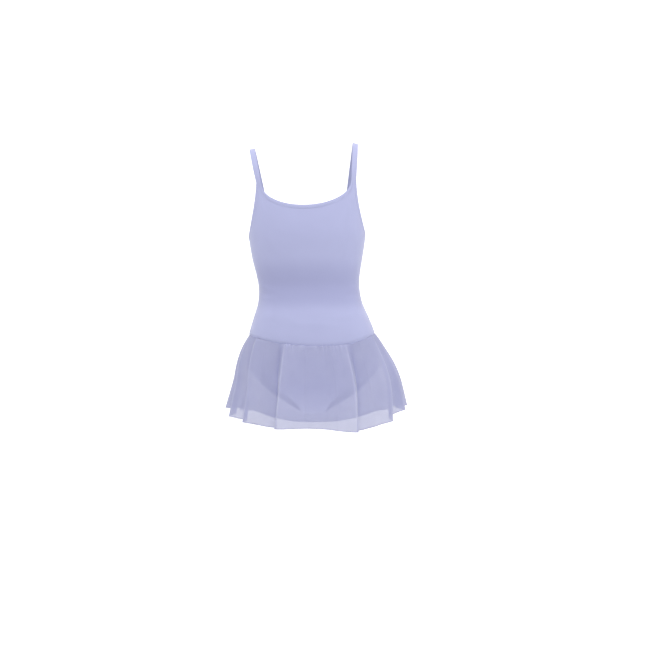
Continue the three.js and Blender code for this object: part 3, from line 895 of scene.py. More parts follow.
@dataclass(frozen=True)
class Brief:
    """One half of the briefs, from the hip seam to the crotch seam.

    Each row of the lower table gives its step, the section's middle, how far the section has tipped from
    level, the oblong that it curves on, and its angle there from the centre to a leg edge.
    """

    facing: Facing
    lower: Table
    cut: Cut
    leg_top: float = -508
    leg_top_dip: float = 12
    leg_top_fade: float = 0.4
    inset: float = 1.3
    upper_rows: int = 26
    lower_rows: int = 60
    row_crowding: float = 1.4
    columns: int = 90
    gather_height: float = 0.35
    gather_beat: float = 64
    gather_drift: float = 3
    drift_beat: float = 17
    gather_fade: float = 9
    gather_start: float = 0.02
    allowance_rise: float = 4.0
    allowance_depth: float = 1.2
    filled: float = 0.5

    def point(self, down: np.ndarray, across: np.ndarray) -> np.ndarray:
        """Gives a point of the briefs.

        Args:
            down: From -1 at the hip seam over 0 at the leg tops to 1 at the crotch.
            across: From -1 at the wearer's right edge to 1 at the left.

        Returns:
            The point in millimetres, on the last axis.
        """
        down, across = np.broadcast_arrays(down, across)
        half_turn = across * pi / 2
        angle = half_turn if self.facing is Facing.FRONT else pi - half_turn
        leg_top = self.leg_top - self.leg_top_dip * np.cos(angle) ** 2
        upper = FORM.point(angle, lerp(leg_top, FORM.seam_height(angle) - SEAM_DROP, -np.minimum(down, 0)))
        steps = len(self.lower) - 1
        y, z, tip, half, depth, reach = np.moveaxis(read(self.lower, np.maximum(down, 0) * steps), -1, 0)
        turn = across * np.radians(reach)
        side = half * power(np.sin(turn), 2 / FORM.square)
        behind = depth - depth * power(np.cos(turn), 2 / FORM.square)
        lift = self.leg_top_dip * (1 - smooth(down / self.leg_top_fade)) * np.sin(turn) ** 2
        lean = read(FORM.levels, z)[..., 0]
        back = y - self.facing.value * behind * np.cos(np.radians(tip))
        lower = np.stack([lean + side, back, z + behind * np.sin(np.radians(tip)) + lift], axis=-1)
        return np.where((down <= 0)[..., None], upper, lower)

    def worn_grid(self) -> np.ndarray:
        """Gives the panel's worn points, rows upwards, with its seam allowance behind the bodice."""
        lower = np.linspace(0, 1, self.lower_rows + 1) ** self.row_crowding
        upper = np.linspace(0, 1, self.upper_rows + 1)
        downs = np.concatenate([lower[::-1], -upper[1:]])[:, None]
        across = -self.facing.value * np.linspace(-1, 1, self.columns + 1)[None, :]
        points = self.point(downs, across)
        normals = grid_normals(points)
        ripple = np.sin(downs * self.gather_beat + self.gather_drift * np.sin(downs * self.drift_beat))
        ripple = ripple * np.exp(-(1 - np.abs(across)) * self.gather_fade)
        lift = self.gather_height * ripple * np.where(downs > self.gather_start, 1, 0) - self.inset
        points = points + normals * lift[..., None]
        top = points[-1:] + np.array([0, 0, self.allowance_rise]) - normals[-1:] * self.allowance_depth
        points = np.concatenate([points, top])
        above = np.arange(len(points)) > self.lower_rows
        for column in (0, -1):
            points[above, column, 1] = 0
        points[0, :, 1] = 0
        points[..., 1] += self.facing.value * SEAM_GAP / 2
        return points

    def build(self, palette: Palette) -> Cloth:
        """Makes and dresses the panel.

        Args:
            palette: The finishes.

        Returns:
            The panel's outer surface.
        """
        node = f"brief_{self.facing.name.lower()}"
        points = self.worn_grid()
        piece = Workroom.sheet(f"{node}_panel", points, self.cut)
        Workroom.thicken(piece, JERSEY_WALL, JERSEY_ROUNDING)
        palette.dress(piece, palette.jersey, palette.jersey_inside)
        Workroom.settle(piece, "jersey", node)
        f"bodice_{self.facing.name.lower()}_panel"
        return Cloth(points)


@dataclass(frozen=True)
class Ridge:
    """A fold of the skirt.

    It has an angle at the seam and one at the hem, and stands out there by its height. Fall is the share of
    the way to the next ridge, away from the front centre, in which it comes down. Lean is in degrees.
    """

    seam: float
    hem: float
    height: float
    fall: float
    lean: float

    def turned(self) -> "Ridge":
        """Gives the same ridge one turn on."""
        return Ridge(self.seam + 360, self.hem + 360, self.height, self.fall, self.lean)


@dataclass(frozen=True)
class FoldCell:
    """Where the places of one row lie between the ridges on both sides of them.

    Share is the part of the way from one ridge to the next, and away is the same part counted from the front
    centre. Fall, height and lean are the folds' sizes there, and to_ridge is the angle to the nearer ridge.
    Front and back mark the two cells that lie across the centres.
    """

    share: np.ndarray
    away: np.ndarray
    fall: np.ndarray
    height: np.ndarray
    lean: np.ndarray
    to_ridge: np.ndarray
    on_right: np.ndarray
    front: np.ndarray
    back: np.ndarray


@dataclass(frozen=True)
class SkirtShape:
    """The worn shape of the flared skirt and its folds.

    The flare's rows give the share of the drop, how far the middle has moved to the wearer's left, and how
    far the cloth has moved out to the right, left, front and back. The hem's rows give angle and height.
    """

    flare: Table = (
        (0, 0, 0, 0, 0, 0),
        (0.2, 1.5, 15.5, 16.5, 15, 17),
        (0.4, 2.5, 24.5, 33.5, 28, 32),
        (0.6, 2.5, 28.5, 46, 39, 45),
        (0.8, 2.5, 35.5, 53.5, 48, 55),
        (1, 2.5, 43.5, 59.5, 55, 63),
    )
    hem: Table = (
        (-180, -645),
        (-165, -642.5),
        (-130, -615),
        (-95, -603),
        (-74, -618),
        (-50, -626),
        (-25, -639),
        (0, -639),
        (26, -646),
        (54, -624),
        (75, -605),
        (95, -597),
        (130, -614),
        (165, -642.5),
        (180, -645),
    )
    ridges: tuple[Ridge, ...] = (
        Ridge(-155, -154, 13, 0.3, 0.8),
        Ridge(-126, -124, 16, 0.28, 1.1),
        Ridge(-97, -97, 17, 0.3, 0.7),
        Ridge(-76, -74, 9, 0.4, 0.5),
        Ridge(-55, -48, 13, 0.3, 0.9),
        Ridge(-20, -21.5, 17, 0.2, 1.3),
        Ridge(26, 24, 18, 0.2, 1.3),
        Ridge(66, 52.5, 16, 0.42, 1.0),
        Ridge(81, 77, 11, 0.4, 0.8),
        Ridge(96, 98, 18, 0.32, 0.7),
        Ridge(128, 125, 14, 0.28, 1.0),
        Ridge(159, 160, 15, 0.3, 0.8),
    )
    fold_growth: float = 0.6
    seam_pinch: float = 0.006
    front_sag: float = 1.2
    back_sag: float = 1.7
    crest_ease: float = 0.75
    crest_sharpness: float = 2.1
    centre_sharpness: float = 1.35
    gathers: int = 11
    gather_drift: float = 2.2
    drift_beat: float = 9
    gather_height: float = 2.0
    gather_fade: float = 0.07
    # Painted light in the folds: painted shade beside each ridge where the cloth turns back and towards the
    # sagging middle of the centre panels, and painted highlights along the ridges and on the gathers at the
    # seam, growing in over the first part of the drop.
    recess_shade: float = 0.46
    recess_shade_place: float = 0.6
    recess_shade_width: float = 0.45
    middle_shade: float = 0.1
    crest_highlight: float = 0.5
    crest_highlight_width: float = 0.7
    pucker_highlight: float = 0.9
    pucker_highlight_fade: float = 0.03
    painted_light_start: float = 0.35
    painted_light_growth: float = 3
    ripple_growth: float = 1.4
    tuck_turn: float = 160
    flutter: float = 0.8
    flutter_growth: float = 9
    flutter_beat: float = 31
    flutter_drift: float = 2
    flutter_drift_beat: float = 7
    ripples: Table = (
        (9, 1.1, 0.4, 2.0),
        (14, 0.8, 2.1, -3.0),
        (23, 0.5, 4.4, 4.0),
        (37, 0.28, 1.3, -2.0),
    )
    tucks: tuple[Crease, ...] = (
        Crease((-3, 0), (-4, 0.34), 1.5, 3.2, stretch=1.0),
        Crease((12, 0), (13.5, 0.26), 1.3, 3.0, stretch=1.0),
        Crease((44, 0), (41, 0.3), 0.9, 3.5, stretch=1.0),
        Crease((-41, 0), (-39, 0.22), 0.9, 3.0, stretch=1.0),
        Crease((112, 0), (113, 0.3), 0.9, 3.0, stretch=1.0),
        Crease((172, 0), (171, 0.34), 1.3, 3.2, stretch=1.0),
        Crease((191, 0), (193, 0.28), 1.1, 3.0, stretch=1.0),
        Crease((-112, 0), (-110, 0.3), 0.9, 3.0, stretch=1.0),
    )

    def cell(self, degrees: np.ndarray, drop: float) -> FoldCell:
        """Finds between which ridges the places of a row lie.

        Args:
            degrees: Angles from the front centre.
            drop: The row's share of the way from the seam to the hem.

        Returns:
            Their places between the ridges, and the size of the fold there.
        """
        ring = [astuple(ridge) for ridge in (*self.ridges, self.ridges[0].turned())]
        seams, hems, heights, falls, leans = np.array(ring).T
        places = lerp(seams, hems, drop)
        at = places[0] + np.mod(degrees - places[0], 360)
        k = np.clip(np.searchsorted(places, at, side="right") - 1, 0, len(places) - 2)
        share = (at - places[k]) / (places[k + 1] - places[k])
        on_right = seams[k] < 0
        return FoldCell(
            share=share,
            away=np.where(on_right, 1 - share, share),
            fall=np.where(on_right, falls[k + 1], falls[k]),
            height=lerp(heights[k], heights[k + 1], share),
            lean=lerp(leans[k], leans[k + 1], share),
            to_ridge=np.minimum(at - places[k], places[k + 1] - at),
            on_right=on_right,
            front=(seams[k] < 0) & (seams[k + 1] > 0),
            back=seams[k + 1] > 180,
        )

    def gather_wave(self, share: np.ndarray) -> np.ndarray:
        """Gives the uneven wave of the gathers across a cell."""
        return np.sin(pi * self.gathers * share + self.gather_drift * np.sin(self.drift_beat * share))

    def folds(self, degrees: np.ndarray, drop: float) -> tuple[np.ndarray, np.ndarray]:
        """Says how the folds move the cloth along one row.

        Args:
            degrees: Angles from the front centre.
            drop: The row's share of the way from the seam to the hem.

        Returns:
            How far the cloth stands out in millimetres, and how far it leans round in degrees.
        """
        cell = self.cell(degrees, drop)
        growth = ((drop + self.seam_pinch) / (1 + self.seam_pinch)) ** self.fold_growth
        reach = cell.height * growth
        steep = 1 - 2 * smooth(cell.away / cell.fall) ** self.crest_ease
        slow = 2 * np.clip((cell.away - cell.fall) / (1 - cell.fall), 0, 1) ** self.crest_sharpness - 1
        wave = np.where(cell.away < cell.fall, steep, slow)
        bow = np.sin(pi * cell.share) ** self.centre_sharpness
        gather = self.gather_height * np.exp(-drop / self.gather_fade) * self.gather_wave(cell.share) ** 2
        height = np.where(cell.front, reach * (1 - self.front_sag * bow) + gather, reach * wave)
        height = np.where(cell.back, reach * (1 - self.back_sag * bow), height)
        turn = np.where(cell.on_right, -1, 1) * cell.lean * (wave - 1)
        return height, np.where(cell.front | cell.back, 0, turn) * growth

    def painted_light_marks(self, degrees: np.ndarray, drop: float) -> np.ndarray:
        """Says the painted light along one row, from 0 for the deepest painted shade to 1 for the brightest
        painted highlight.
        """
        cell = self.cell(degrees, drop)
        middle = cell.front | cell.back
        # Painted shade beside each ridge where the fold turns back, and towards the middle of the centre
        # panels.
        from_recess = (cell.away / cell.fall - self.recess_shade_place) / self.recess_shade_width
        fold_shade = np.exp(-(from_recess**2)) * self.recess_shade
        fold_shade = np.where(middle, self.middle_shade * np.sin(pi * cell.share), fold_shade)
        # Painted highlight along each ridge, and on the gathers at the seam.
        ridge_highlight = np.exp(-((cell.to_ridge / self.crest_highlight_width) ** 2)) * self.crest_highlight
        gather_highlight = np.exp(-drop / self.pucker_highlight_fade) * self.gather_wave(cell.share) ** 4
        ridge_highlight = ridge_highlight + np.where(middle, gather_highlight * self.pucker_highlight, 0)
        return np.clip(UNPAINTED_FOLD_LIGHT + (ridge_highlight - fold_shade) * smooth(self.painted_light_start + drop * self.painted_light_growth), 0, 1)

    def flared(self, angle: np.ndarray, drop: float) -> np.ndarray:
        """Gives the flared surface without its folds, along one row."""
        middle, right, left, front, back = read(self.flare, np.array(drop))
        side = np.where(np.sin(angle) > 0, left, right)
        depth = np.where(np.cos(angle) > 0, front, back)
        seam = FORM.seam_height(angle)
        hem = read(self.hem, np.mod(np.degrees(angle) + 180, 360) - 180)[..., 0]
        points = FORM.point(angle, seam)
        points[:, 0] += middle + side * np.sin(angle)
        points[:, 1] -= depth * np.cos(angle)
        points[:, 2] = lerp(seam - SEAM_DROP, hem, drop)
        return points

    def row(self, degrees: np.ndarray, drop: float) -> np.ndarray:
        """Gives the worn cloth along one row."""
        height, turn = self.folds(degrees, drop)
        round_skirt = np.radians(degrees)
        for count, size, phase, drift in self.ripples:
            wave = np.sin(round_skirt * count + phase + drift * drop)
            height = height + size * drop**self.ripple_growth * wave
        tuck_place = np.mod(degrees + self.tuck_turn, 360) - self.tuck_turn
        height = height + creased(self.tucks, tuck_place, np.full(len(degrees), drop))
        flutter_drift = self.flutter_drift * np.sin(round_skirt * self.flutter_drift_beat)
        flutter = np.sin(round_skirt * self.flutter_beat + flutter_drift)
        height = height + self.flutter * drop**self.flutter_growth * flutter
        angle = np.radians(degrees + turn)
        across = self.flared(angle + ANGLE_STEP, drop) - self.flared(angle - ANGLE_STEP, drop)
        outward = unit(np.stack([across[:, 1], -across[:, 0], np.zeros(len(angle))], axis=1))
        return self.flared(angle, drop) + outward * height[:, None]


@dataclass(frozen=True)
class SkirtPanel:
    """One half of the skirt, from side seam to side seam."""

    facing: Facing
    shape: SkirtShape
    cut: Cut
    area: float
    rows: int = 76
    row_crowding: float = 1.25
    fold_cell: float = 0.6
    gather_cell: float = 0.55
    fewest_cells: int = 4
    cell_crowding: float = 1.5
    hem_radius: float = 0.8
    tuck: float = 1.4
    tuck_fade: float = 0.006
    allowance: Table = ((1.6, 2.2), (4.6, 2.3))

    def columns(self) -> tuple[np.ndarray, np.ndarray]:
        """Gives each column's angle at the seam and at the hem, closer together where the folds fall."""
        ridges = self.shape.ridges
        if self.facing is Facing.FRONT:
            inner = [(ridge.seam, ridge.hem) for ridge in ridges if abs(ridge.seam) < 90]
            stations = [(-90, -90), *inner, (90, 90)]
        else:
            left = [(ridge.seam, ridge.hem) for ridge in ridges if ridge.seam > 90]
            right = [(ridge.seam + 360, ridge.hem + 360) for ridge in ridges if ridge.seam < -90]
            stations = [(90, 90), *left, *right, (270, 270)]
        seams, hems = [np.array([stations[0][0]])], [np.array([stations[0][1]])]
        for low, high in zip(stations, stations[1:]):
            centre = low[0] < 0 < high[0] or low[0] < 180 < high[0]
            on_right = low[0] < 0 or low[0] > 180
            cell = self.gather_cell if centre else self.fold_cell
            cells = max(self.fewest_cells, round((high[0] - low[0]) / cell))
            along = np.linspace(0, 1, cells + 1)[1:]
            if not centre:
                along = 1 - (1 - along) ** self.cell_crowding if on_right else along**self.cell_crowding
            seams.append(lerp(low[0], high[0], along))
            hems.append(lerp(low[1], high[1], along))
        return np.concatenate(seams), np.concatenate(hems)

    def worn_grid(self) -> np.ndarray:
        """Gives the panel's worn points, rows upwards, with its seam allowance behind the bodice."""
        seams, hems = self.columns()
        drops = self.drops()
        grid = np.stack([self.shape.row(lerp(seams, hems, drop), drop) for drop in drops])
        angle = np.radians(seams)
        seam = FORM.seam_height(angle)
        inward = -FORM.normal(angle, seam)
        tucked = np.exp(-drops / self.tuck_fade) * self.tuck
        grid += inward[None] * tucked[:, None, None]
        allowance = [FORM.point(angle, seam + rise) + inward * depth for rise, depth in self.allowance]
        grid = np.concatenate([grid, allowance])
        grid[:, [0, -1], 1] = 0
        grid[..., 1] += self.facing.value * SEAM_GAP / 2
        return grid

    def drops(self) -> np.ndarray:
        """Gives each row's share of the way from the seam to the hem, from the hem upwards."""
        return np.linspace(0, 1, self.rows + 1)[::-1] ** self.row_crowding

    def fold_light_marks(self) -> np.ndarray:
        """Gives each point's painted fold shade and highlight, in the layout of the worn grid."""
        seams, hems = self.columns()
        painted_light_marks = np.stack([self.shape.painted_light_marks(lerp(seams, hems, drop), drop) for drop in self.drops()])
        return np.concatenate([painted_light_marks, np.full((len(self.allowance), len(seams)), UNPAINTED_FOLD_LIGHT)])

    def build(self, palette: Palette) -> Cloth:
        """Makes and dresses the panel with its rolled hem.

        Args:
            palette: The finishes.

        Returns:
            The panel's surface.
        """
        name = self.facing.name.lower()
        points = self.worn_grid()
        piece = Workroom.sheet(f"skirt_{name}_panel", points, self.cut)
        # Writes the painted fold shade and highlights on to the panel's points.
        Workroom.mark(piece, FOLD_LIGHT_MARK, self.fold_light_marks())
        palette.dress(piece, palette.chiffon)
        Workroom.settle(piece, "chiffon", f"skirt_{name}")
        hem = Workroom.tube(f"skirt_{name}_hem", points[0], self.hem_radius)
        # The rolled hem gets neither painted shade nor highlight.
        Workroom.mark(hem, FOLD_LIGHT_MARK, np.full(len(hem.data.vertices), UNPAINTED_FOLD_LIGHT))
        palette.dress(hem, palette.rolled)
        Workroom.settle(hem, "chiffon")
        return Cloth(points)


@dataclass(frozen=True)
class Strap:
    """One shoulder strap, from the front peak over the shoulder to the back.

    Its rows give the share of the rise from the bodice to the highest point, and y.
    """

    side: Side
    top: tuple[float, float]
    width: float = 12.6
    wall: float = 1.5
    rounding: float = 0.45
    slope: float = 0.22
    squaring: float = 4
    tuck: float = 7
    tuck_depth: float = 1.5
    rise: float = 0.3
    crown: float = 0.35
    crown_base: float = 0.15
    hem_allowance: float = 1
    steps: int = 120
    cells: int = 10
    unsewn_steps: int = 3
    front_way: Table = ((0.4, -42), (0.77, -24), (0.94, -8), (1, 8))
    back_way: Table = ((0.965, 24), (0.87, 40), (0.66, 57), (0.4, 69))

    def end(self, bodice: Bodice) -> tuple[np.ndarray, np.ndarray, np.ndarray]:
        """Finds where the strap leaves a panel.

        Args:
            bodice: The panel.

        Returns:
            The middle of the strap peak, the way across it, and a lower point behind the panel.
        """
        corners = bodice.peak_edge(self.side, 2)[[0, -1]]
        points = FORM.point(corners[:, 0], corners[:, 1] + self.rise)
        points = points[np.argsort(points[:, 0])]
        middle = points.mean(axis=0)
        place = corners.mean(axis=0)
        behind = FORM.point(place[0], place[1] - self.tuck)
        behind = behind - FORM.normal(place[0], place[1]) * self.tuck_depth
        return middle, unit(points[1] - points[0]), behind

    def worn_grid(self, front: Bodice, back: Bodice) -> np.ndarray:
        """Gives the strap's worn points, rows across it and columns along it."""
        ends = {Facing.FRONT: self.end(front), Facing.BACK: self.end(back)}
        top_x, top_z = self.top
        stops = [ends[Facing.FRONT][2], ends[Facing.FRONT][0]]
        for facing, way in ((Facing.FRONT, self.front_way), (Facing.BACK, self.back_way)):
            middle = ends[facing][0]
            stops += [np.array([lerp(middle[0], top_x, r), y, lerp(middle[2], top_z, r)]) for r, y in way]
        stops += [ends[Facing.BACK][0], ends[Facing.BACK][2]]
        line = smooth_line(np.array(stops), self.steps)
        tangents = unit(np.gradient(line, axis=0))
        top_across = unit(np.array([1, 0, -self.side.value * self.slope]))
        rows = []
        for middle, tangent in zip(line, tangents):
            facing = Facing.FRONT if middle[1] < self.front_way[-1][1] else Facing.BACK
            foot, foot_across, _ = ends[facing]
            rise = np.clip((middle[2] - foot[2]) / (top_z - foot[2]), 0, 1)
            across = lerp(foot_across, top_across, smooth(rise))
            across = unit(across - tangent * (across @ tangent) * smooth(rise * self.squaring))
            outward = np.cross(across, tangent)
            u = np.linspace(-0.5, 0.5, self.cells + 1)[:, None]
            crown = self.crown * (1 - (2 * u) ** 2) + self.crown_base
            rows.append(middle + across * u * self.width + outward * crown)
        return np.stack(rows, axis=1)

    def build(self, palette: Palette, front: Bodice, back: Bodice) -> None:
        """Makes and dresses the strap with its two rows of edge stitches.

        Args:
            palette: The finishes.
            front: The front panel that carries it.
            back: The back panel.
        """
        name = f"strap_{self.side.name.lower()}"
        grid = self.worn_grid(front, back)
        normals = grid_normals(grid)
        if normals[self.cells // 2, self.steps // 2, 2] < 0:
            grid = grid[::-1]
            normals = grid_normals(grid)
        length = line_lengths(grid[self.cells // 2])[-1]
        piece = Workroom.sheet(f"{name}_strip", grid, (length, self.width))
        Workroom.thicken(piece, self.wall, self.rounding)
        palette.dress(piece, palette.edging, palette.edging)
        Workroom.settle(piece, "edging", name)
        sewn = slice(self.unsewn_steps, -self.unsewn_steps)
        rows = [(grid[k, sewn], normals[k, sewn]) for k in (1, self.cells - 1)]
        sewing = palette.sew(f"{name}_stitches", rows)


@dataclass(frozen=True)
class TurnedEdge:
    """An edge of the jersey that is turned over to the inside and stitched down.

    Its section runs over the face, round the edge and back inside. Each row gives the share of the width and
    the millimetres that it lies inwards from the edge, and its height off the cloth in millimetres.
    """

    name: str
    width: float
    end_width: float
    taper: float
    stitch_rows: tuple[float, ...]
    part: str = "bodice"
    lift: float = 0.22
    opened: float = 2.1
    section: Table = (
        (1, 0, -0.4),
        (1, -0.1, 0),
        (1, -0.6, 0.12),
        (1, -1.4, 0.22),
        (0.62, 0, 0.3),
        (0.35, 0, 0.34),
        (0, 0.9, 0.22),
        (0, 0.15, 0),
        (0, -0.3, -0.1),
        (0, -0.38, -0.55),
        (0, -0.15, -1.1),
        (0, 0.5, -1.45),
        (0.4, 0, -1.55),
        (0.85, 0, -1.5),
        (0.9, 0, -0.7),
    )

    def build(self, palette: Palette, edge: np.ndarray, cloth: Cloth, flat_ends: bool, node: str) -> None:
        """Makes and dresses the turned edge with its stitches.

        Args:
            palette: The finishes.
            edge: The points of the cloth's edge, anticlockwise with the cloth on the left hand side.
            cloth: The cloth that is turned.
            flat_ends: Whether the ends are cut level, as on a strap peak.
            node: The solid that it stands for.
        """
        normals = cloth.nearest(edge)[1]
        tangents = unit(np.gradient(edge, axis=0))
        inwards = unit(np.cross(tangents, normals))
        if flat_ends:
            inwards[[0, -1], 2] = 0
        inwards = unit(inwards)
        runs = line_lengths(edge)
        from_end = np.minimum(runs, runs[-1] - runs)
        width = lerp(self.end_width, self.width, smooth(from_end / self.taper))
        rows = []
        for share, more, lift in self.section:
            distance = (width * share + more)[:, None]
            aside = edge + inwards * distance
            on_cloth, outward = cloth.nearest(aside)
            beyond = distance < 0
            rows.append(np.where(beyond, aside, on_cloth) + np.where(beyond, normals, outward) * lift)
        cut = (runs[-1], self.opened * self.width)
        piece = Workroom.sheet(f"{self.name}_turned_edge", np.stack(rows), cut)
        palette.dress(piece, palette.edging)
        Workroom.settle(piece, "edging", node)
        sewing_rows = []
        for share in self.stitch_rows:
            aside = edge + inwards * (width * share)[:, None]
            on_cloth, outward = cloth.nearest(aside)
            sewing_rows.append((on_cloth + outward * (self.lift + THREAD_LIFT), outward))
        sewing = palette.sew(f"{self.name}_stitches", sewing_rows)


@dataclass(frozen=True)
class Studio:
    """A plain pale floor that sweeps up behind the dress, soft light and the camera.

    The two rows of the glow are for the near and the far end of its reach. Each gives the grey that lights
    the dress, and the grey that the camera sees.
    """

    camera_place: Place = (0.0483, -3.2, -0.413)
    lens: float = 76.94
    floor_height: float = -1.24
    half_width: float = 6.0
    near: float = -5.0
    far: float = 2.2
    bend: float = 1.4
    top: float = 3.5
    flat_steps: int = 12
    bend_steps: int = 13
    rise_steps: int = 6
    width_steps: int = 9
    glow: Table = ((0.35, 0.8), (0.55, 1))
    glow_reach: Cut = (-0.6, 1.2)
    glow_strength: float = 0.62
    world_strength: float = 0.19
    light_size: float = 1.2
    light_aim: Place = (0.01, 0, -0.36)
    sensor: float = 36
    farthest: float = 50
    lights: tuple[tuple[str, Place, float], ...] = (
        ("front_light_left", (0.75, -1.9, 1.9), 24),
        ("front_light_right", (-1.15, -1.8, 1.7), 17),
        ("side_light_left", (2.2, -0.9, 0.5), 17),
        ("side_light_right", (-2.2, -0.9, 0.5), 9),
        ("high_light_front", (0, -1.1, 2.4), 21),
        ("high_light_left", (1.7, -0.3, 1.8), 9),
        ("high_light_right", (-1.7, -0.3, 1.8), 13),
        ("rear_light_left", (1.9, 0.9, 0.9), 6),
        ("rear_light_right", (-1.9, 0.9, 0.9), 6),
        ("back_light", (0.2, 1.8, 1.6), 10),
    )

    @staticmethod
    def grey(share: float) -> Colour:
        """Gives a grey."""
        return (share, share, share, 1)

    def sweep(self) -> bpy.types.Object:
        """Makes the floor and its sweep as one smooth sheet."""
        flat = np.linspace(self.near, self.far, self.flat_steps)
        turn = np.linspace(0, pi / 2, self.bend_steps)[1:]
        rise = np.linspace(self.floor_height + self.bend, self.top, self.rise_steps)[1:]
        y = np.concatenate([
            flat,
            self.far + self.bend * np.sin(turn),
            np.full(len(rise), self.far + self.bend),
        ])
        z = np.concatenate([
            np.full(len(flat), self.floor_height),
            self.floor_height + self.bend * (1 - np.cos(turn)),
            rise,
        ])
        x = np.linspace(-self.half_width, self.half_width, self.width_steps)
        level = np.ones(len(x))
        points = np.stack([np.stack([x, level * back, level * high], axis=1) for back, high in zip(y, z)])
        width = 2 * self.half_width / MM
        return Workroom.sheet("studio_floor", points / MM, (width, width))

    def build_floor(self) -> None:
        """Gives the floor its pale finish, which glows a little more to the rear and to the camera."""
        floor = self.sweep()
        material = bpy.data.materials.new("pale_floor")
        material.use_nodes = True
        kit = NodeKit(material.node_tree)
        shader = material.node_tree.nodes["Principled BSDF"]
        place = kit.add("ShaderNodeTexCoord")
        cloud = kit.noise(place.outputs["Object"], 1.5, 2)
        kit.join(kit.mix(cloud, self.grey(0.84), self.grey(0.87)), shader.inputs["Base Color"])
        shader.inputs["Roughness"].default_value = 0.9
        split = kit.add("ShaderNodeSeparateXYZ")
        kit.join(place.outputs["Object"], split.inputs[0])
        rear = kit.add("ShaderNodeMapRange")
        kit.join(split.outputs[1], rear.inputs["Value"])
        rear.inputs["From Min"].default_value = self.glow_reach[0]
        rear.inputs["From Max"].default_value = self.glow_reach[1]
        seen = kit.add("ShaderNodeLightPath").outputs["Is Camera Ray"]
        near, far = (kit.mix(seen, *(self.grey(share) for share in shares)) for shares in self.glow)
        kit.join(kit.mix(rear.outputs[0], near, far), shader.inputs["Emission Color"])
        shader.inputs["Emission Strength"].default_value = self.glow_strength
        floor.data.materials.append(material)

    def build_light(self, name: str, place: Place, power_watts: float) -> None:
        """Hangs one large soft light that faces the dress."""
        Workroom.clear_selection()
        bpy.ops.object.light_add(type="AREA", location=place)
        light = bpy.context.active_object
        light.name = name
        light.data.size = self.light_size
        light.data.energy = power_watts
        light.visible_camera = False
        towards = Vector(self.light_aim) - Vector(place)
        light.rotation_euler = towards.to_track_quat("-Z", "Y").to_euler()

    def build(self) -> None:
        """Sets up floor, world, lights and camera."""
        self.build_floor()
        world = bpy.data.worlds.new("studio_world")
        world.use_nodes = True
        kit = NodeKit(world.node_tree)
        background = world.node_tree.nodes["Background"]
        background.inputs["Color"].default_value = (1, 1, 1, 1)
        seen = kit.add("ShaderNodeLightPath").outputs["Is Camera Ray"]
        shown = kit.math("MULTIPLY", seen, 1 - self.world_strength)
        kit.join(kit.math("ADD", shown, self.world_strength), background.inputs["Strength"])
        bpy.context.scene.world = world
        for name, place, power_watts in self.lights:
            self.build_light(name, place, power_watts)
        Workroom.clear_selection()
        bpy.ops.object.camera_add(location=self.camera_place, rotation=(pi / 2, 0, 0))
        camera = bpy.context.active_object
        camera.data.lens = self.lens
        camera.data.sensor_width = self.sensor
        camera.data.clip_end = self.farthest
        scene = bpy.context.scene
        scene.camera = camera
        scene.view_settings.view_transform = "Standard"
        scene.view_settings.look = "None"


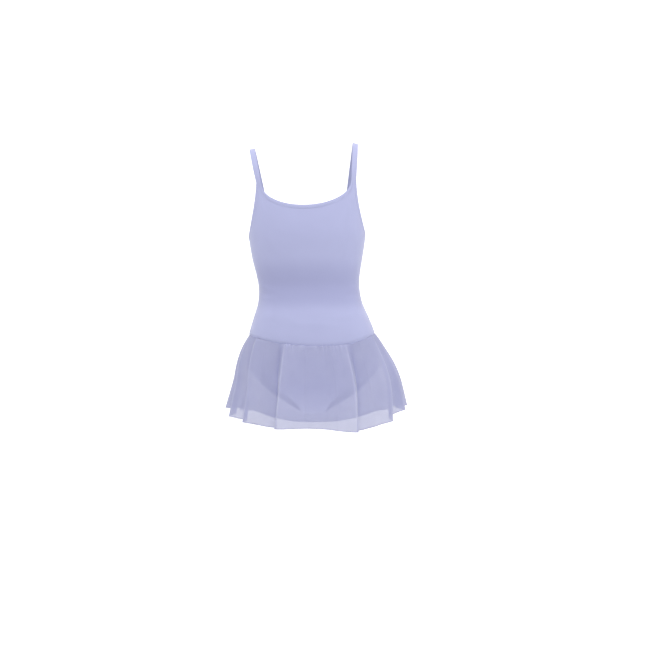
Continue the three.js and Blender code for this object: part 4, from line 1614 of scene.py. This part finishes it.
class Dress:
    """The whole dress, built from its two halves."""

    neck_cells: int = 150
    armhole_cells: int = 70
    hip_stitch_height: float = 3.2

    def __init__(self, palette: Palette) -> None:
        """Sets the sizes of every piece."""
        self.palette = palette
        front_creases = (
            Crease((-74, -318), (-40, -334), 0.9, 5.5),
            Crease((-78, -336), (-46, -347), -0.7, 4.5),
            Crease((-72, -350), (-38, -352), 0.6, 5),
            Crease((74, -322), (46, -336), 0.9, 5),
            Crease((78, -338), (44, -345), -0.6, 4.5),
            Crease((70, -350), (36, -356), 0.6, 5),
            Crease((-46, -112), (-40, -175), 0.5, 6),
            Crease((46, -112), (40, -172), 0.5, 6),
            Crease((-30, -405), (24, -413), 0.6, 8),
            Crease((-52, -392), (-18, -398), 0.5, 7),
            Crease((20, -396), (58, -386), 0.5, 7),
        )
        back_creases = (
            Crease((108, -320), (140, -334), 0.9, 5.5),
            Crease((104, -338), (138, -346), -0.7, 4.5),
            Crease((112, -352), (148, -352), 0.6, 5),
            Crease((252, -320), (222, -336), 0.9, 5),
            Crease((256, -338), (226, -344), -0.6, 4.5),
            Crease((250, -352), (214, -356), 0.6, 5),
            Crease((150, -378), (205, -386), 0.7, 8),
        )
        self.bodices = {
            Facing.FRONT: Bodice(
                facing=Facing.FRONT,
                neck_half=102,
                neck_depth=54,
                peak=-88.5,
                cut=(410, 375),
                creases=front_creases,
            ),
            Facing.BACK: Bodice(
                facing=Facing.BACK,
                neck_half=84,
                neck_depth=46,
                peak=-176,
                cut=(410, 275),
                creases=back_creases,
            ),
        }
        brief_front = (
            (0, -95, -520, 0, 153, 95, 90),
            (1, -93, -542, 8, 152, 93, 40),
            (2, -84, -570, 25, 146, 86, 20.5),
            (3, -63, -595, 47, 120, 70, 13.5),
            (4, -34, -610, 69, 80, 45, 17),
            (5, 0, -617, 90, 60, 30, 23.5),
        )
        brief_back = (
            (0, 112, -520, 0, 153, 112, 90),
            (1, 111, -550, 11, 153, 111, 61),
            (2, 101, -579, 31, 148, 104, 42),
            (3, 77, -601, 54, 128, 84, 27),
            (4, 42, -613, 75, 85, 50, 21),
            (5, 0, -617, 90, 60, 30, 23.5),
        )
        self.briefs = {
            Facing.FRONT: Brief(Facing.FRONT, lower=brief_front, cut=(390, 235)),
            Facing.BACK: Brief(Facing.BACK, lower=brief_back, cut=(420, 260)),
        }
        shape = SkirtShape()
        self.skirts = {
            Facing.FRONT: SkirtPanel(Facing.FRONT, shape, cut=(740, 195), area=0.104),
            Facing.BACK: SkirtPanel(Facing.BACK, shape, cut=(750, 207), area=0.108),
        }
        self.straps = (Strap(Side.RIGHT, (-120.5, -6.5)), Strap(Side.LEFT, (117, 6.5)))

    def build_top_edges(self, cloths: dict[Facing, Cloth]) -> None:
        """Turns and stitches the necklines and the armholes.

        Args:
            cloths: The outer surfaces of the two bodice panels.
        """
        for facing, bodice in self.bodices.items():
            half = facing.name.lower()
            line = bodice.neckline(self.neck_cells)
            line = line if facing is Facing.FRONT else line[::-1]
            neck = TurnedEdge(f"neck_{half}", width=9, end_width=5.4, taper=50, stitch_rows=(0.62, 0.88))
            edge = FORM.point(line[:, 0], line[:, 1])
            neck.build(self.palette, edge, cloths[facing], True, f"neck_band_{half}")
        for side in Side:
            half = side.name.lower()
            front = self.bodices[Facing.FRONT].armhole(side, self.armhole_cells)
            back = self.bodices[Facing.BACK].armhole(side, self.armhole_cells)
            line = [front[::-1], back[1:]] if side is Side.LEFT else [back[::-1], front[1:]]
            line = np.concatenate(line)
            edge = FORM.point(line[:, 0], line[:, 1])
            both = Cloth(cloths[Facing.FRONT].points, cloths[Facing.BACK].points)
            arm = TurnedEdge(f"arm_{half}", width=7, end_width=5.4, taper=50, stitch_rows=(0.8,))
            arm.build(self.palette, edge, both, True, f"arm_band_{half}")

    def build_leg_edges(self, cloths: dict[Facing, Cloth]) -> None:
        """Turns and stitches the leg openings.

        Args:
            cloths: The outer surfaces of the two brief panels.
        """
        for side in Side:
            half = side.name.lower()
            lines = {}
            for facing, brief in self.briefs.items():
                column = -1 if (side.value == -facing.value) else 0
                lines[facing] = cloths[facing].points[: brief.lower_rows + 1, column]
            first = Facing.FRONT if side is Side.LEFT else Facing.BACK
            second = Facing.BACK if side is Side.LEFT else Facing.FRONT
            edge = np.concatenate([lines[first][::-1], lines[second][1:]])
            both = Cloth(cloths[first].points, cloths[second].points)
            leg = TurnedEdge(f"leg_{half}", width=8, end_width=8, taper=1, stitch_rows=(0.75,), part="brief")
            leg.build(self.palette, edge, both, False, f"leg_band_{half}")

    def build_hip_stitches(self, cloths: dict[Facing, Cloth]) -> None:
        """Sews the row of stitches above the hip seam.

        Args:
            cloths: The outer surfaces of the two bodice panels.
        """
        rows = []
        for cloth in cloths.values():
            normals = grid_normals(cloth.points)
            heights = cloth.points[:, :, 2] - cloth.points[0, :, 2]
            k = np.argmin(np.abs(heights - self.hip_stitch_height), axis=0)
            number = np.arange(len(k))
            rows.append((cloth.points[k, number] + normals[k, number] * THREAD_LIFT, normals[k, number]))
        self.palette.sew("hip_seam_stitches", rows)

    def build(self) -> None:
        """Makes every piece in sewing order."""
        tops = {facing: bodice.build(self.palette) for facing, bodice in self.bodices.items()}
        seats = {facing: brief.build(self.palette) for facing, brief in self.briefs.items()}
        for skirt in self.skirts.values():
            skirt.build(self.palette)
        for strap in self.straps:
            strap.build(self.palette, self.bodices[Facing.FRONT], self.bodices[Facing.BACK])
        self.build_top_edges(tops)
        self.build_leg_edges(seats)
        self.build_hip_stitches(tops)


def main() -> None:
    """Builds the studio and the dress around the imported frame."""
    logging.basicConfig(level=logging.INFO, format="%(name)s: %(message)s")
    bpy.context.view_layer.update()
    Studio().build()
    Dress(Palette()).build()


if __name__ == "__main__":
    main()
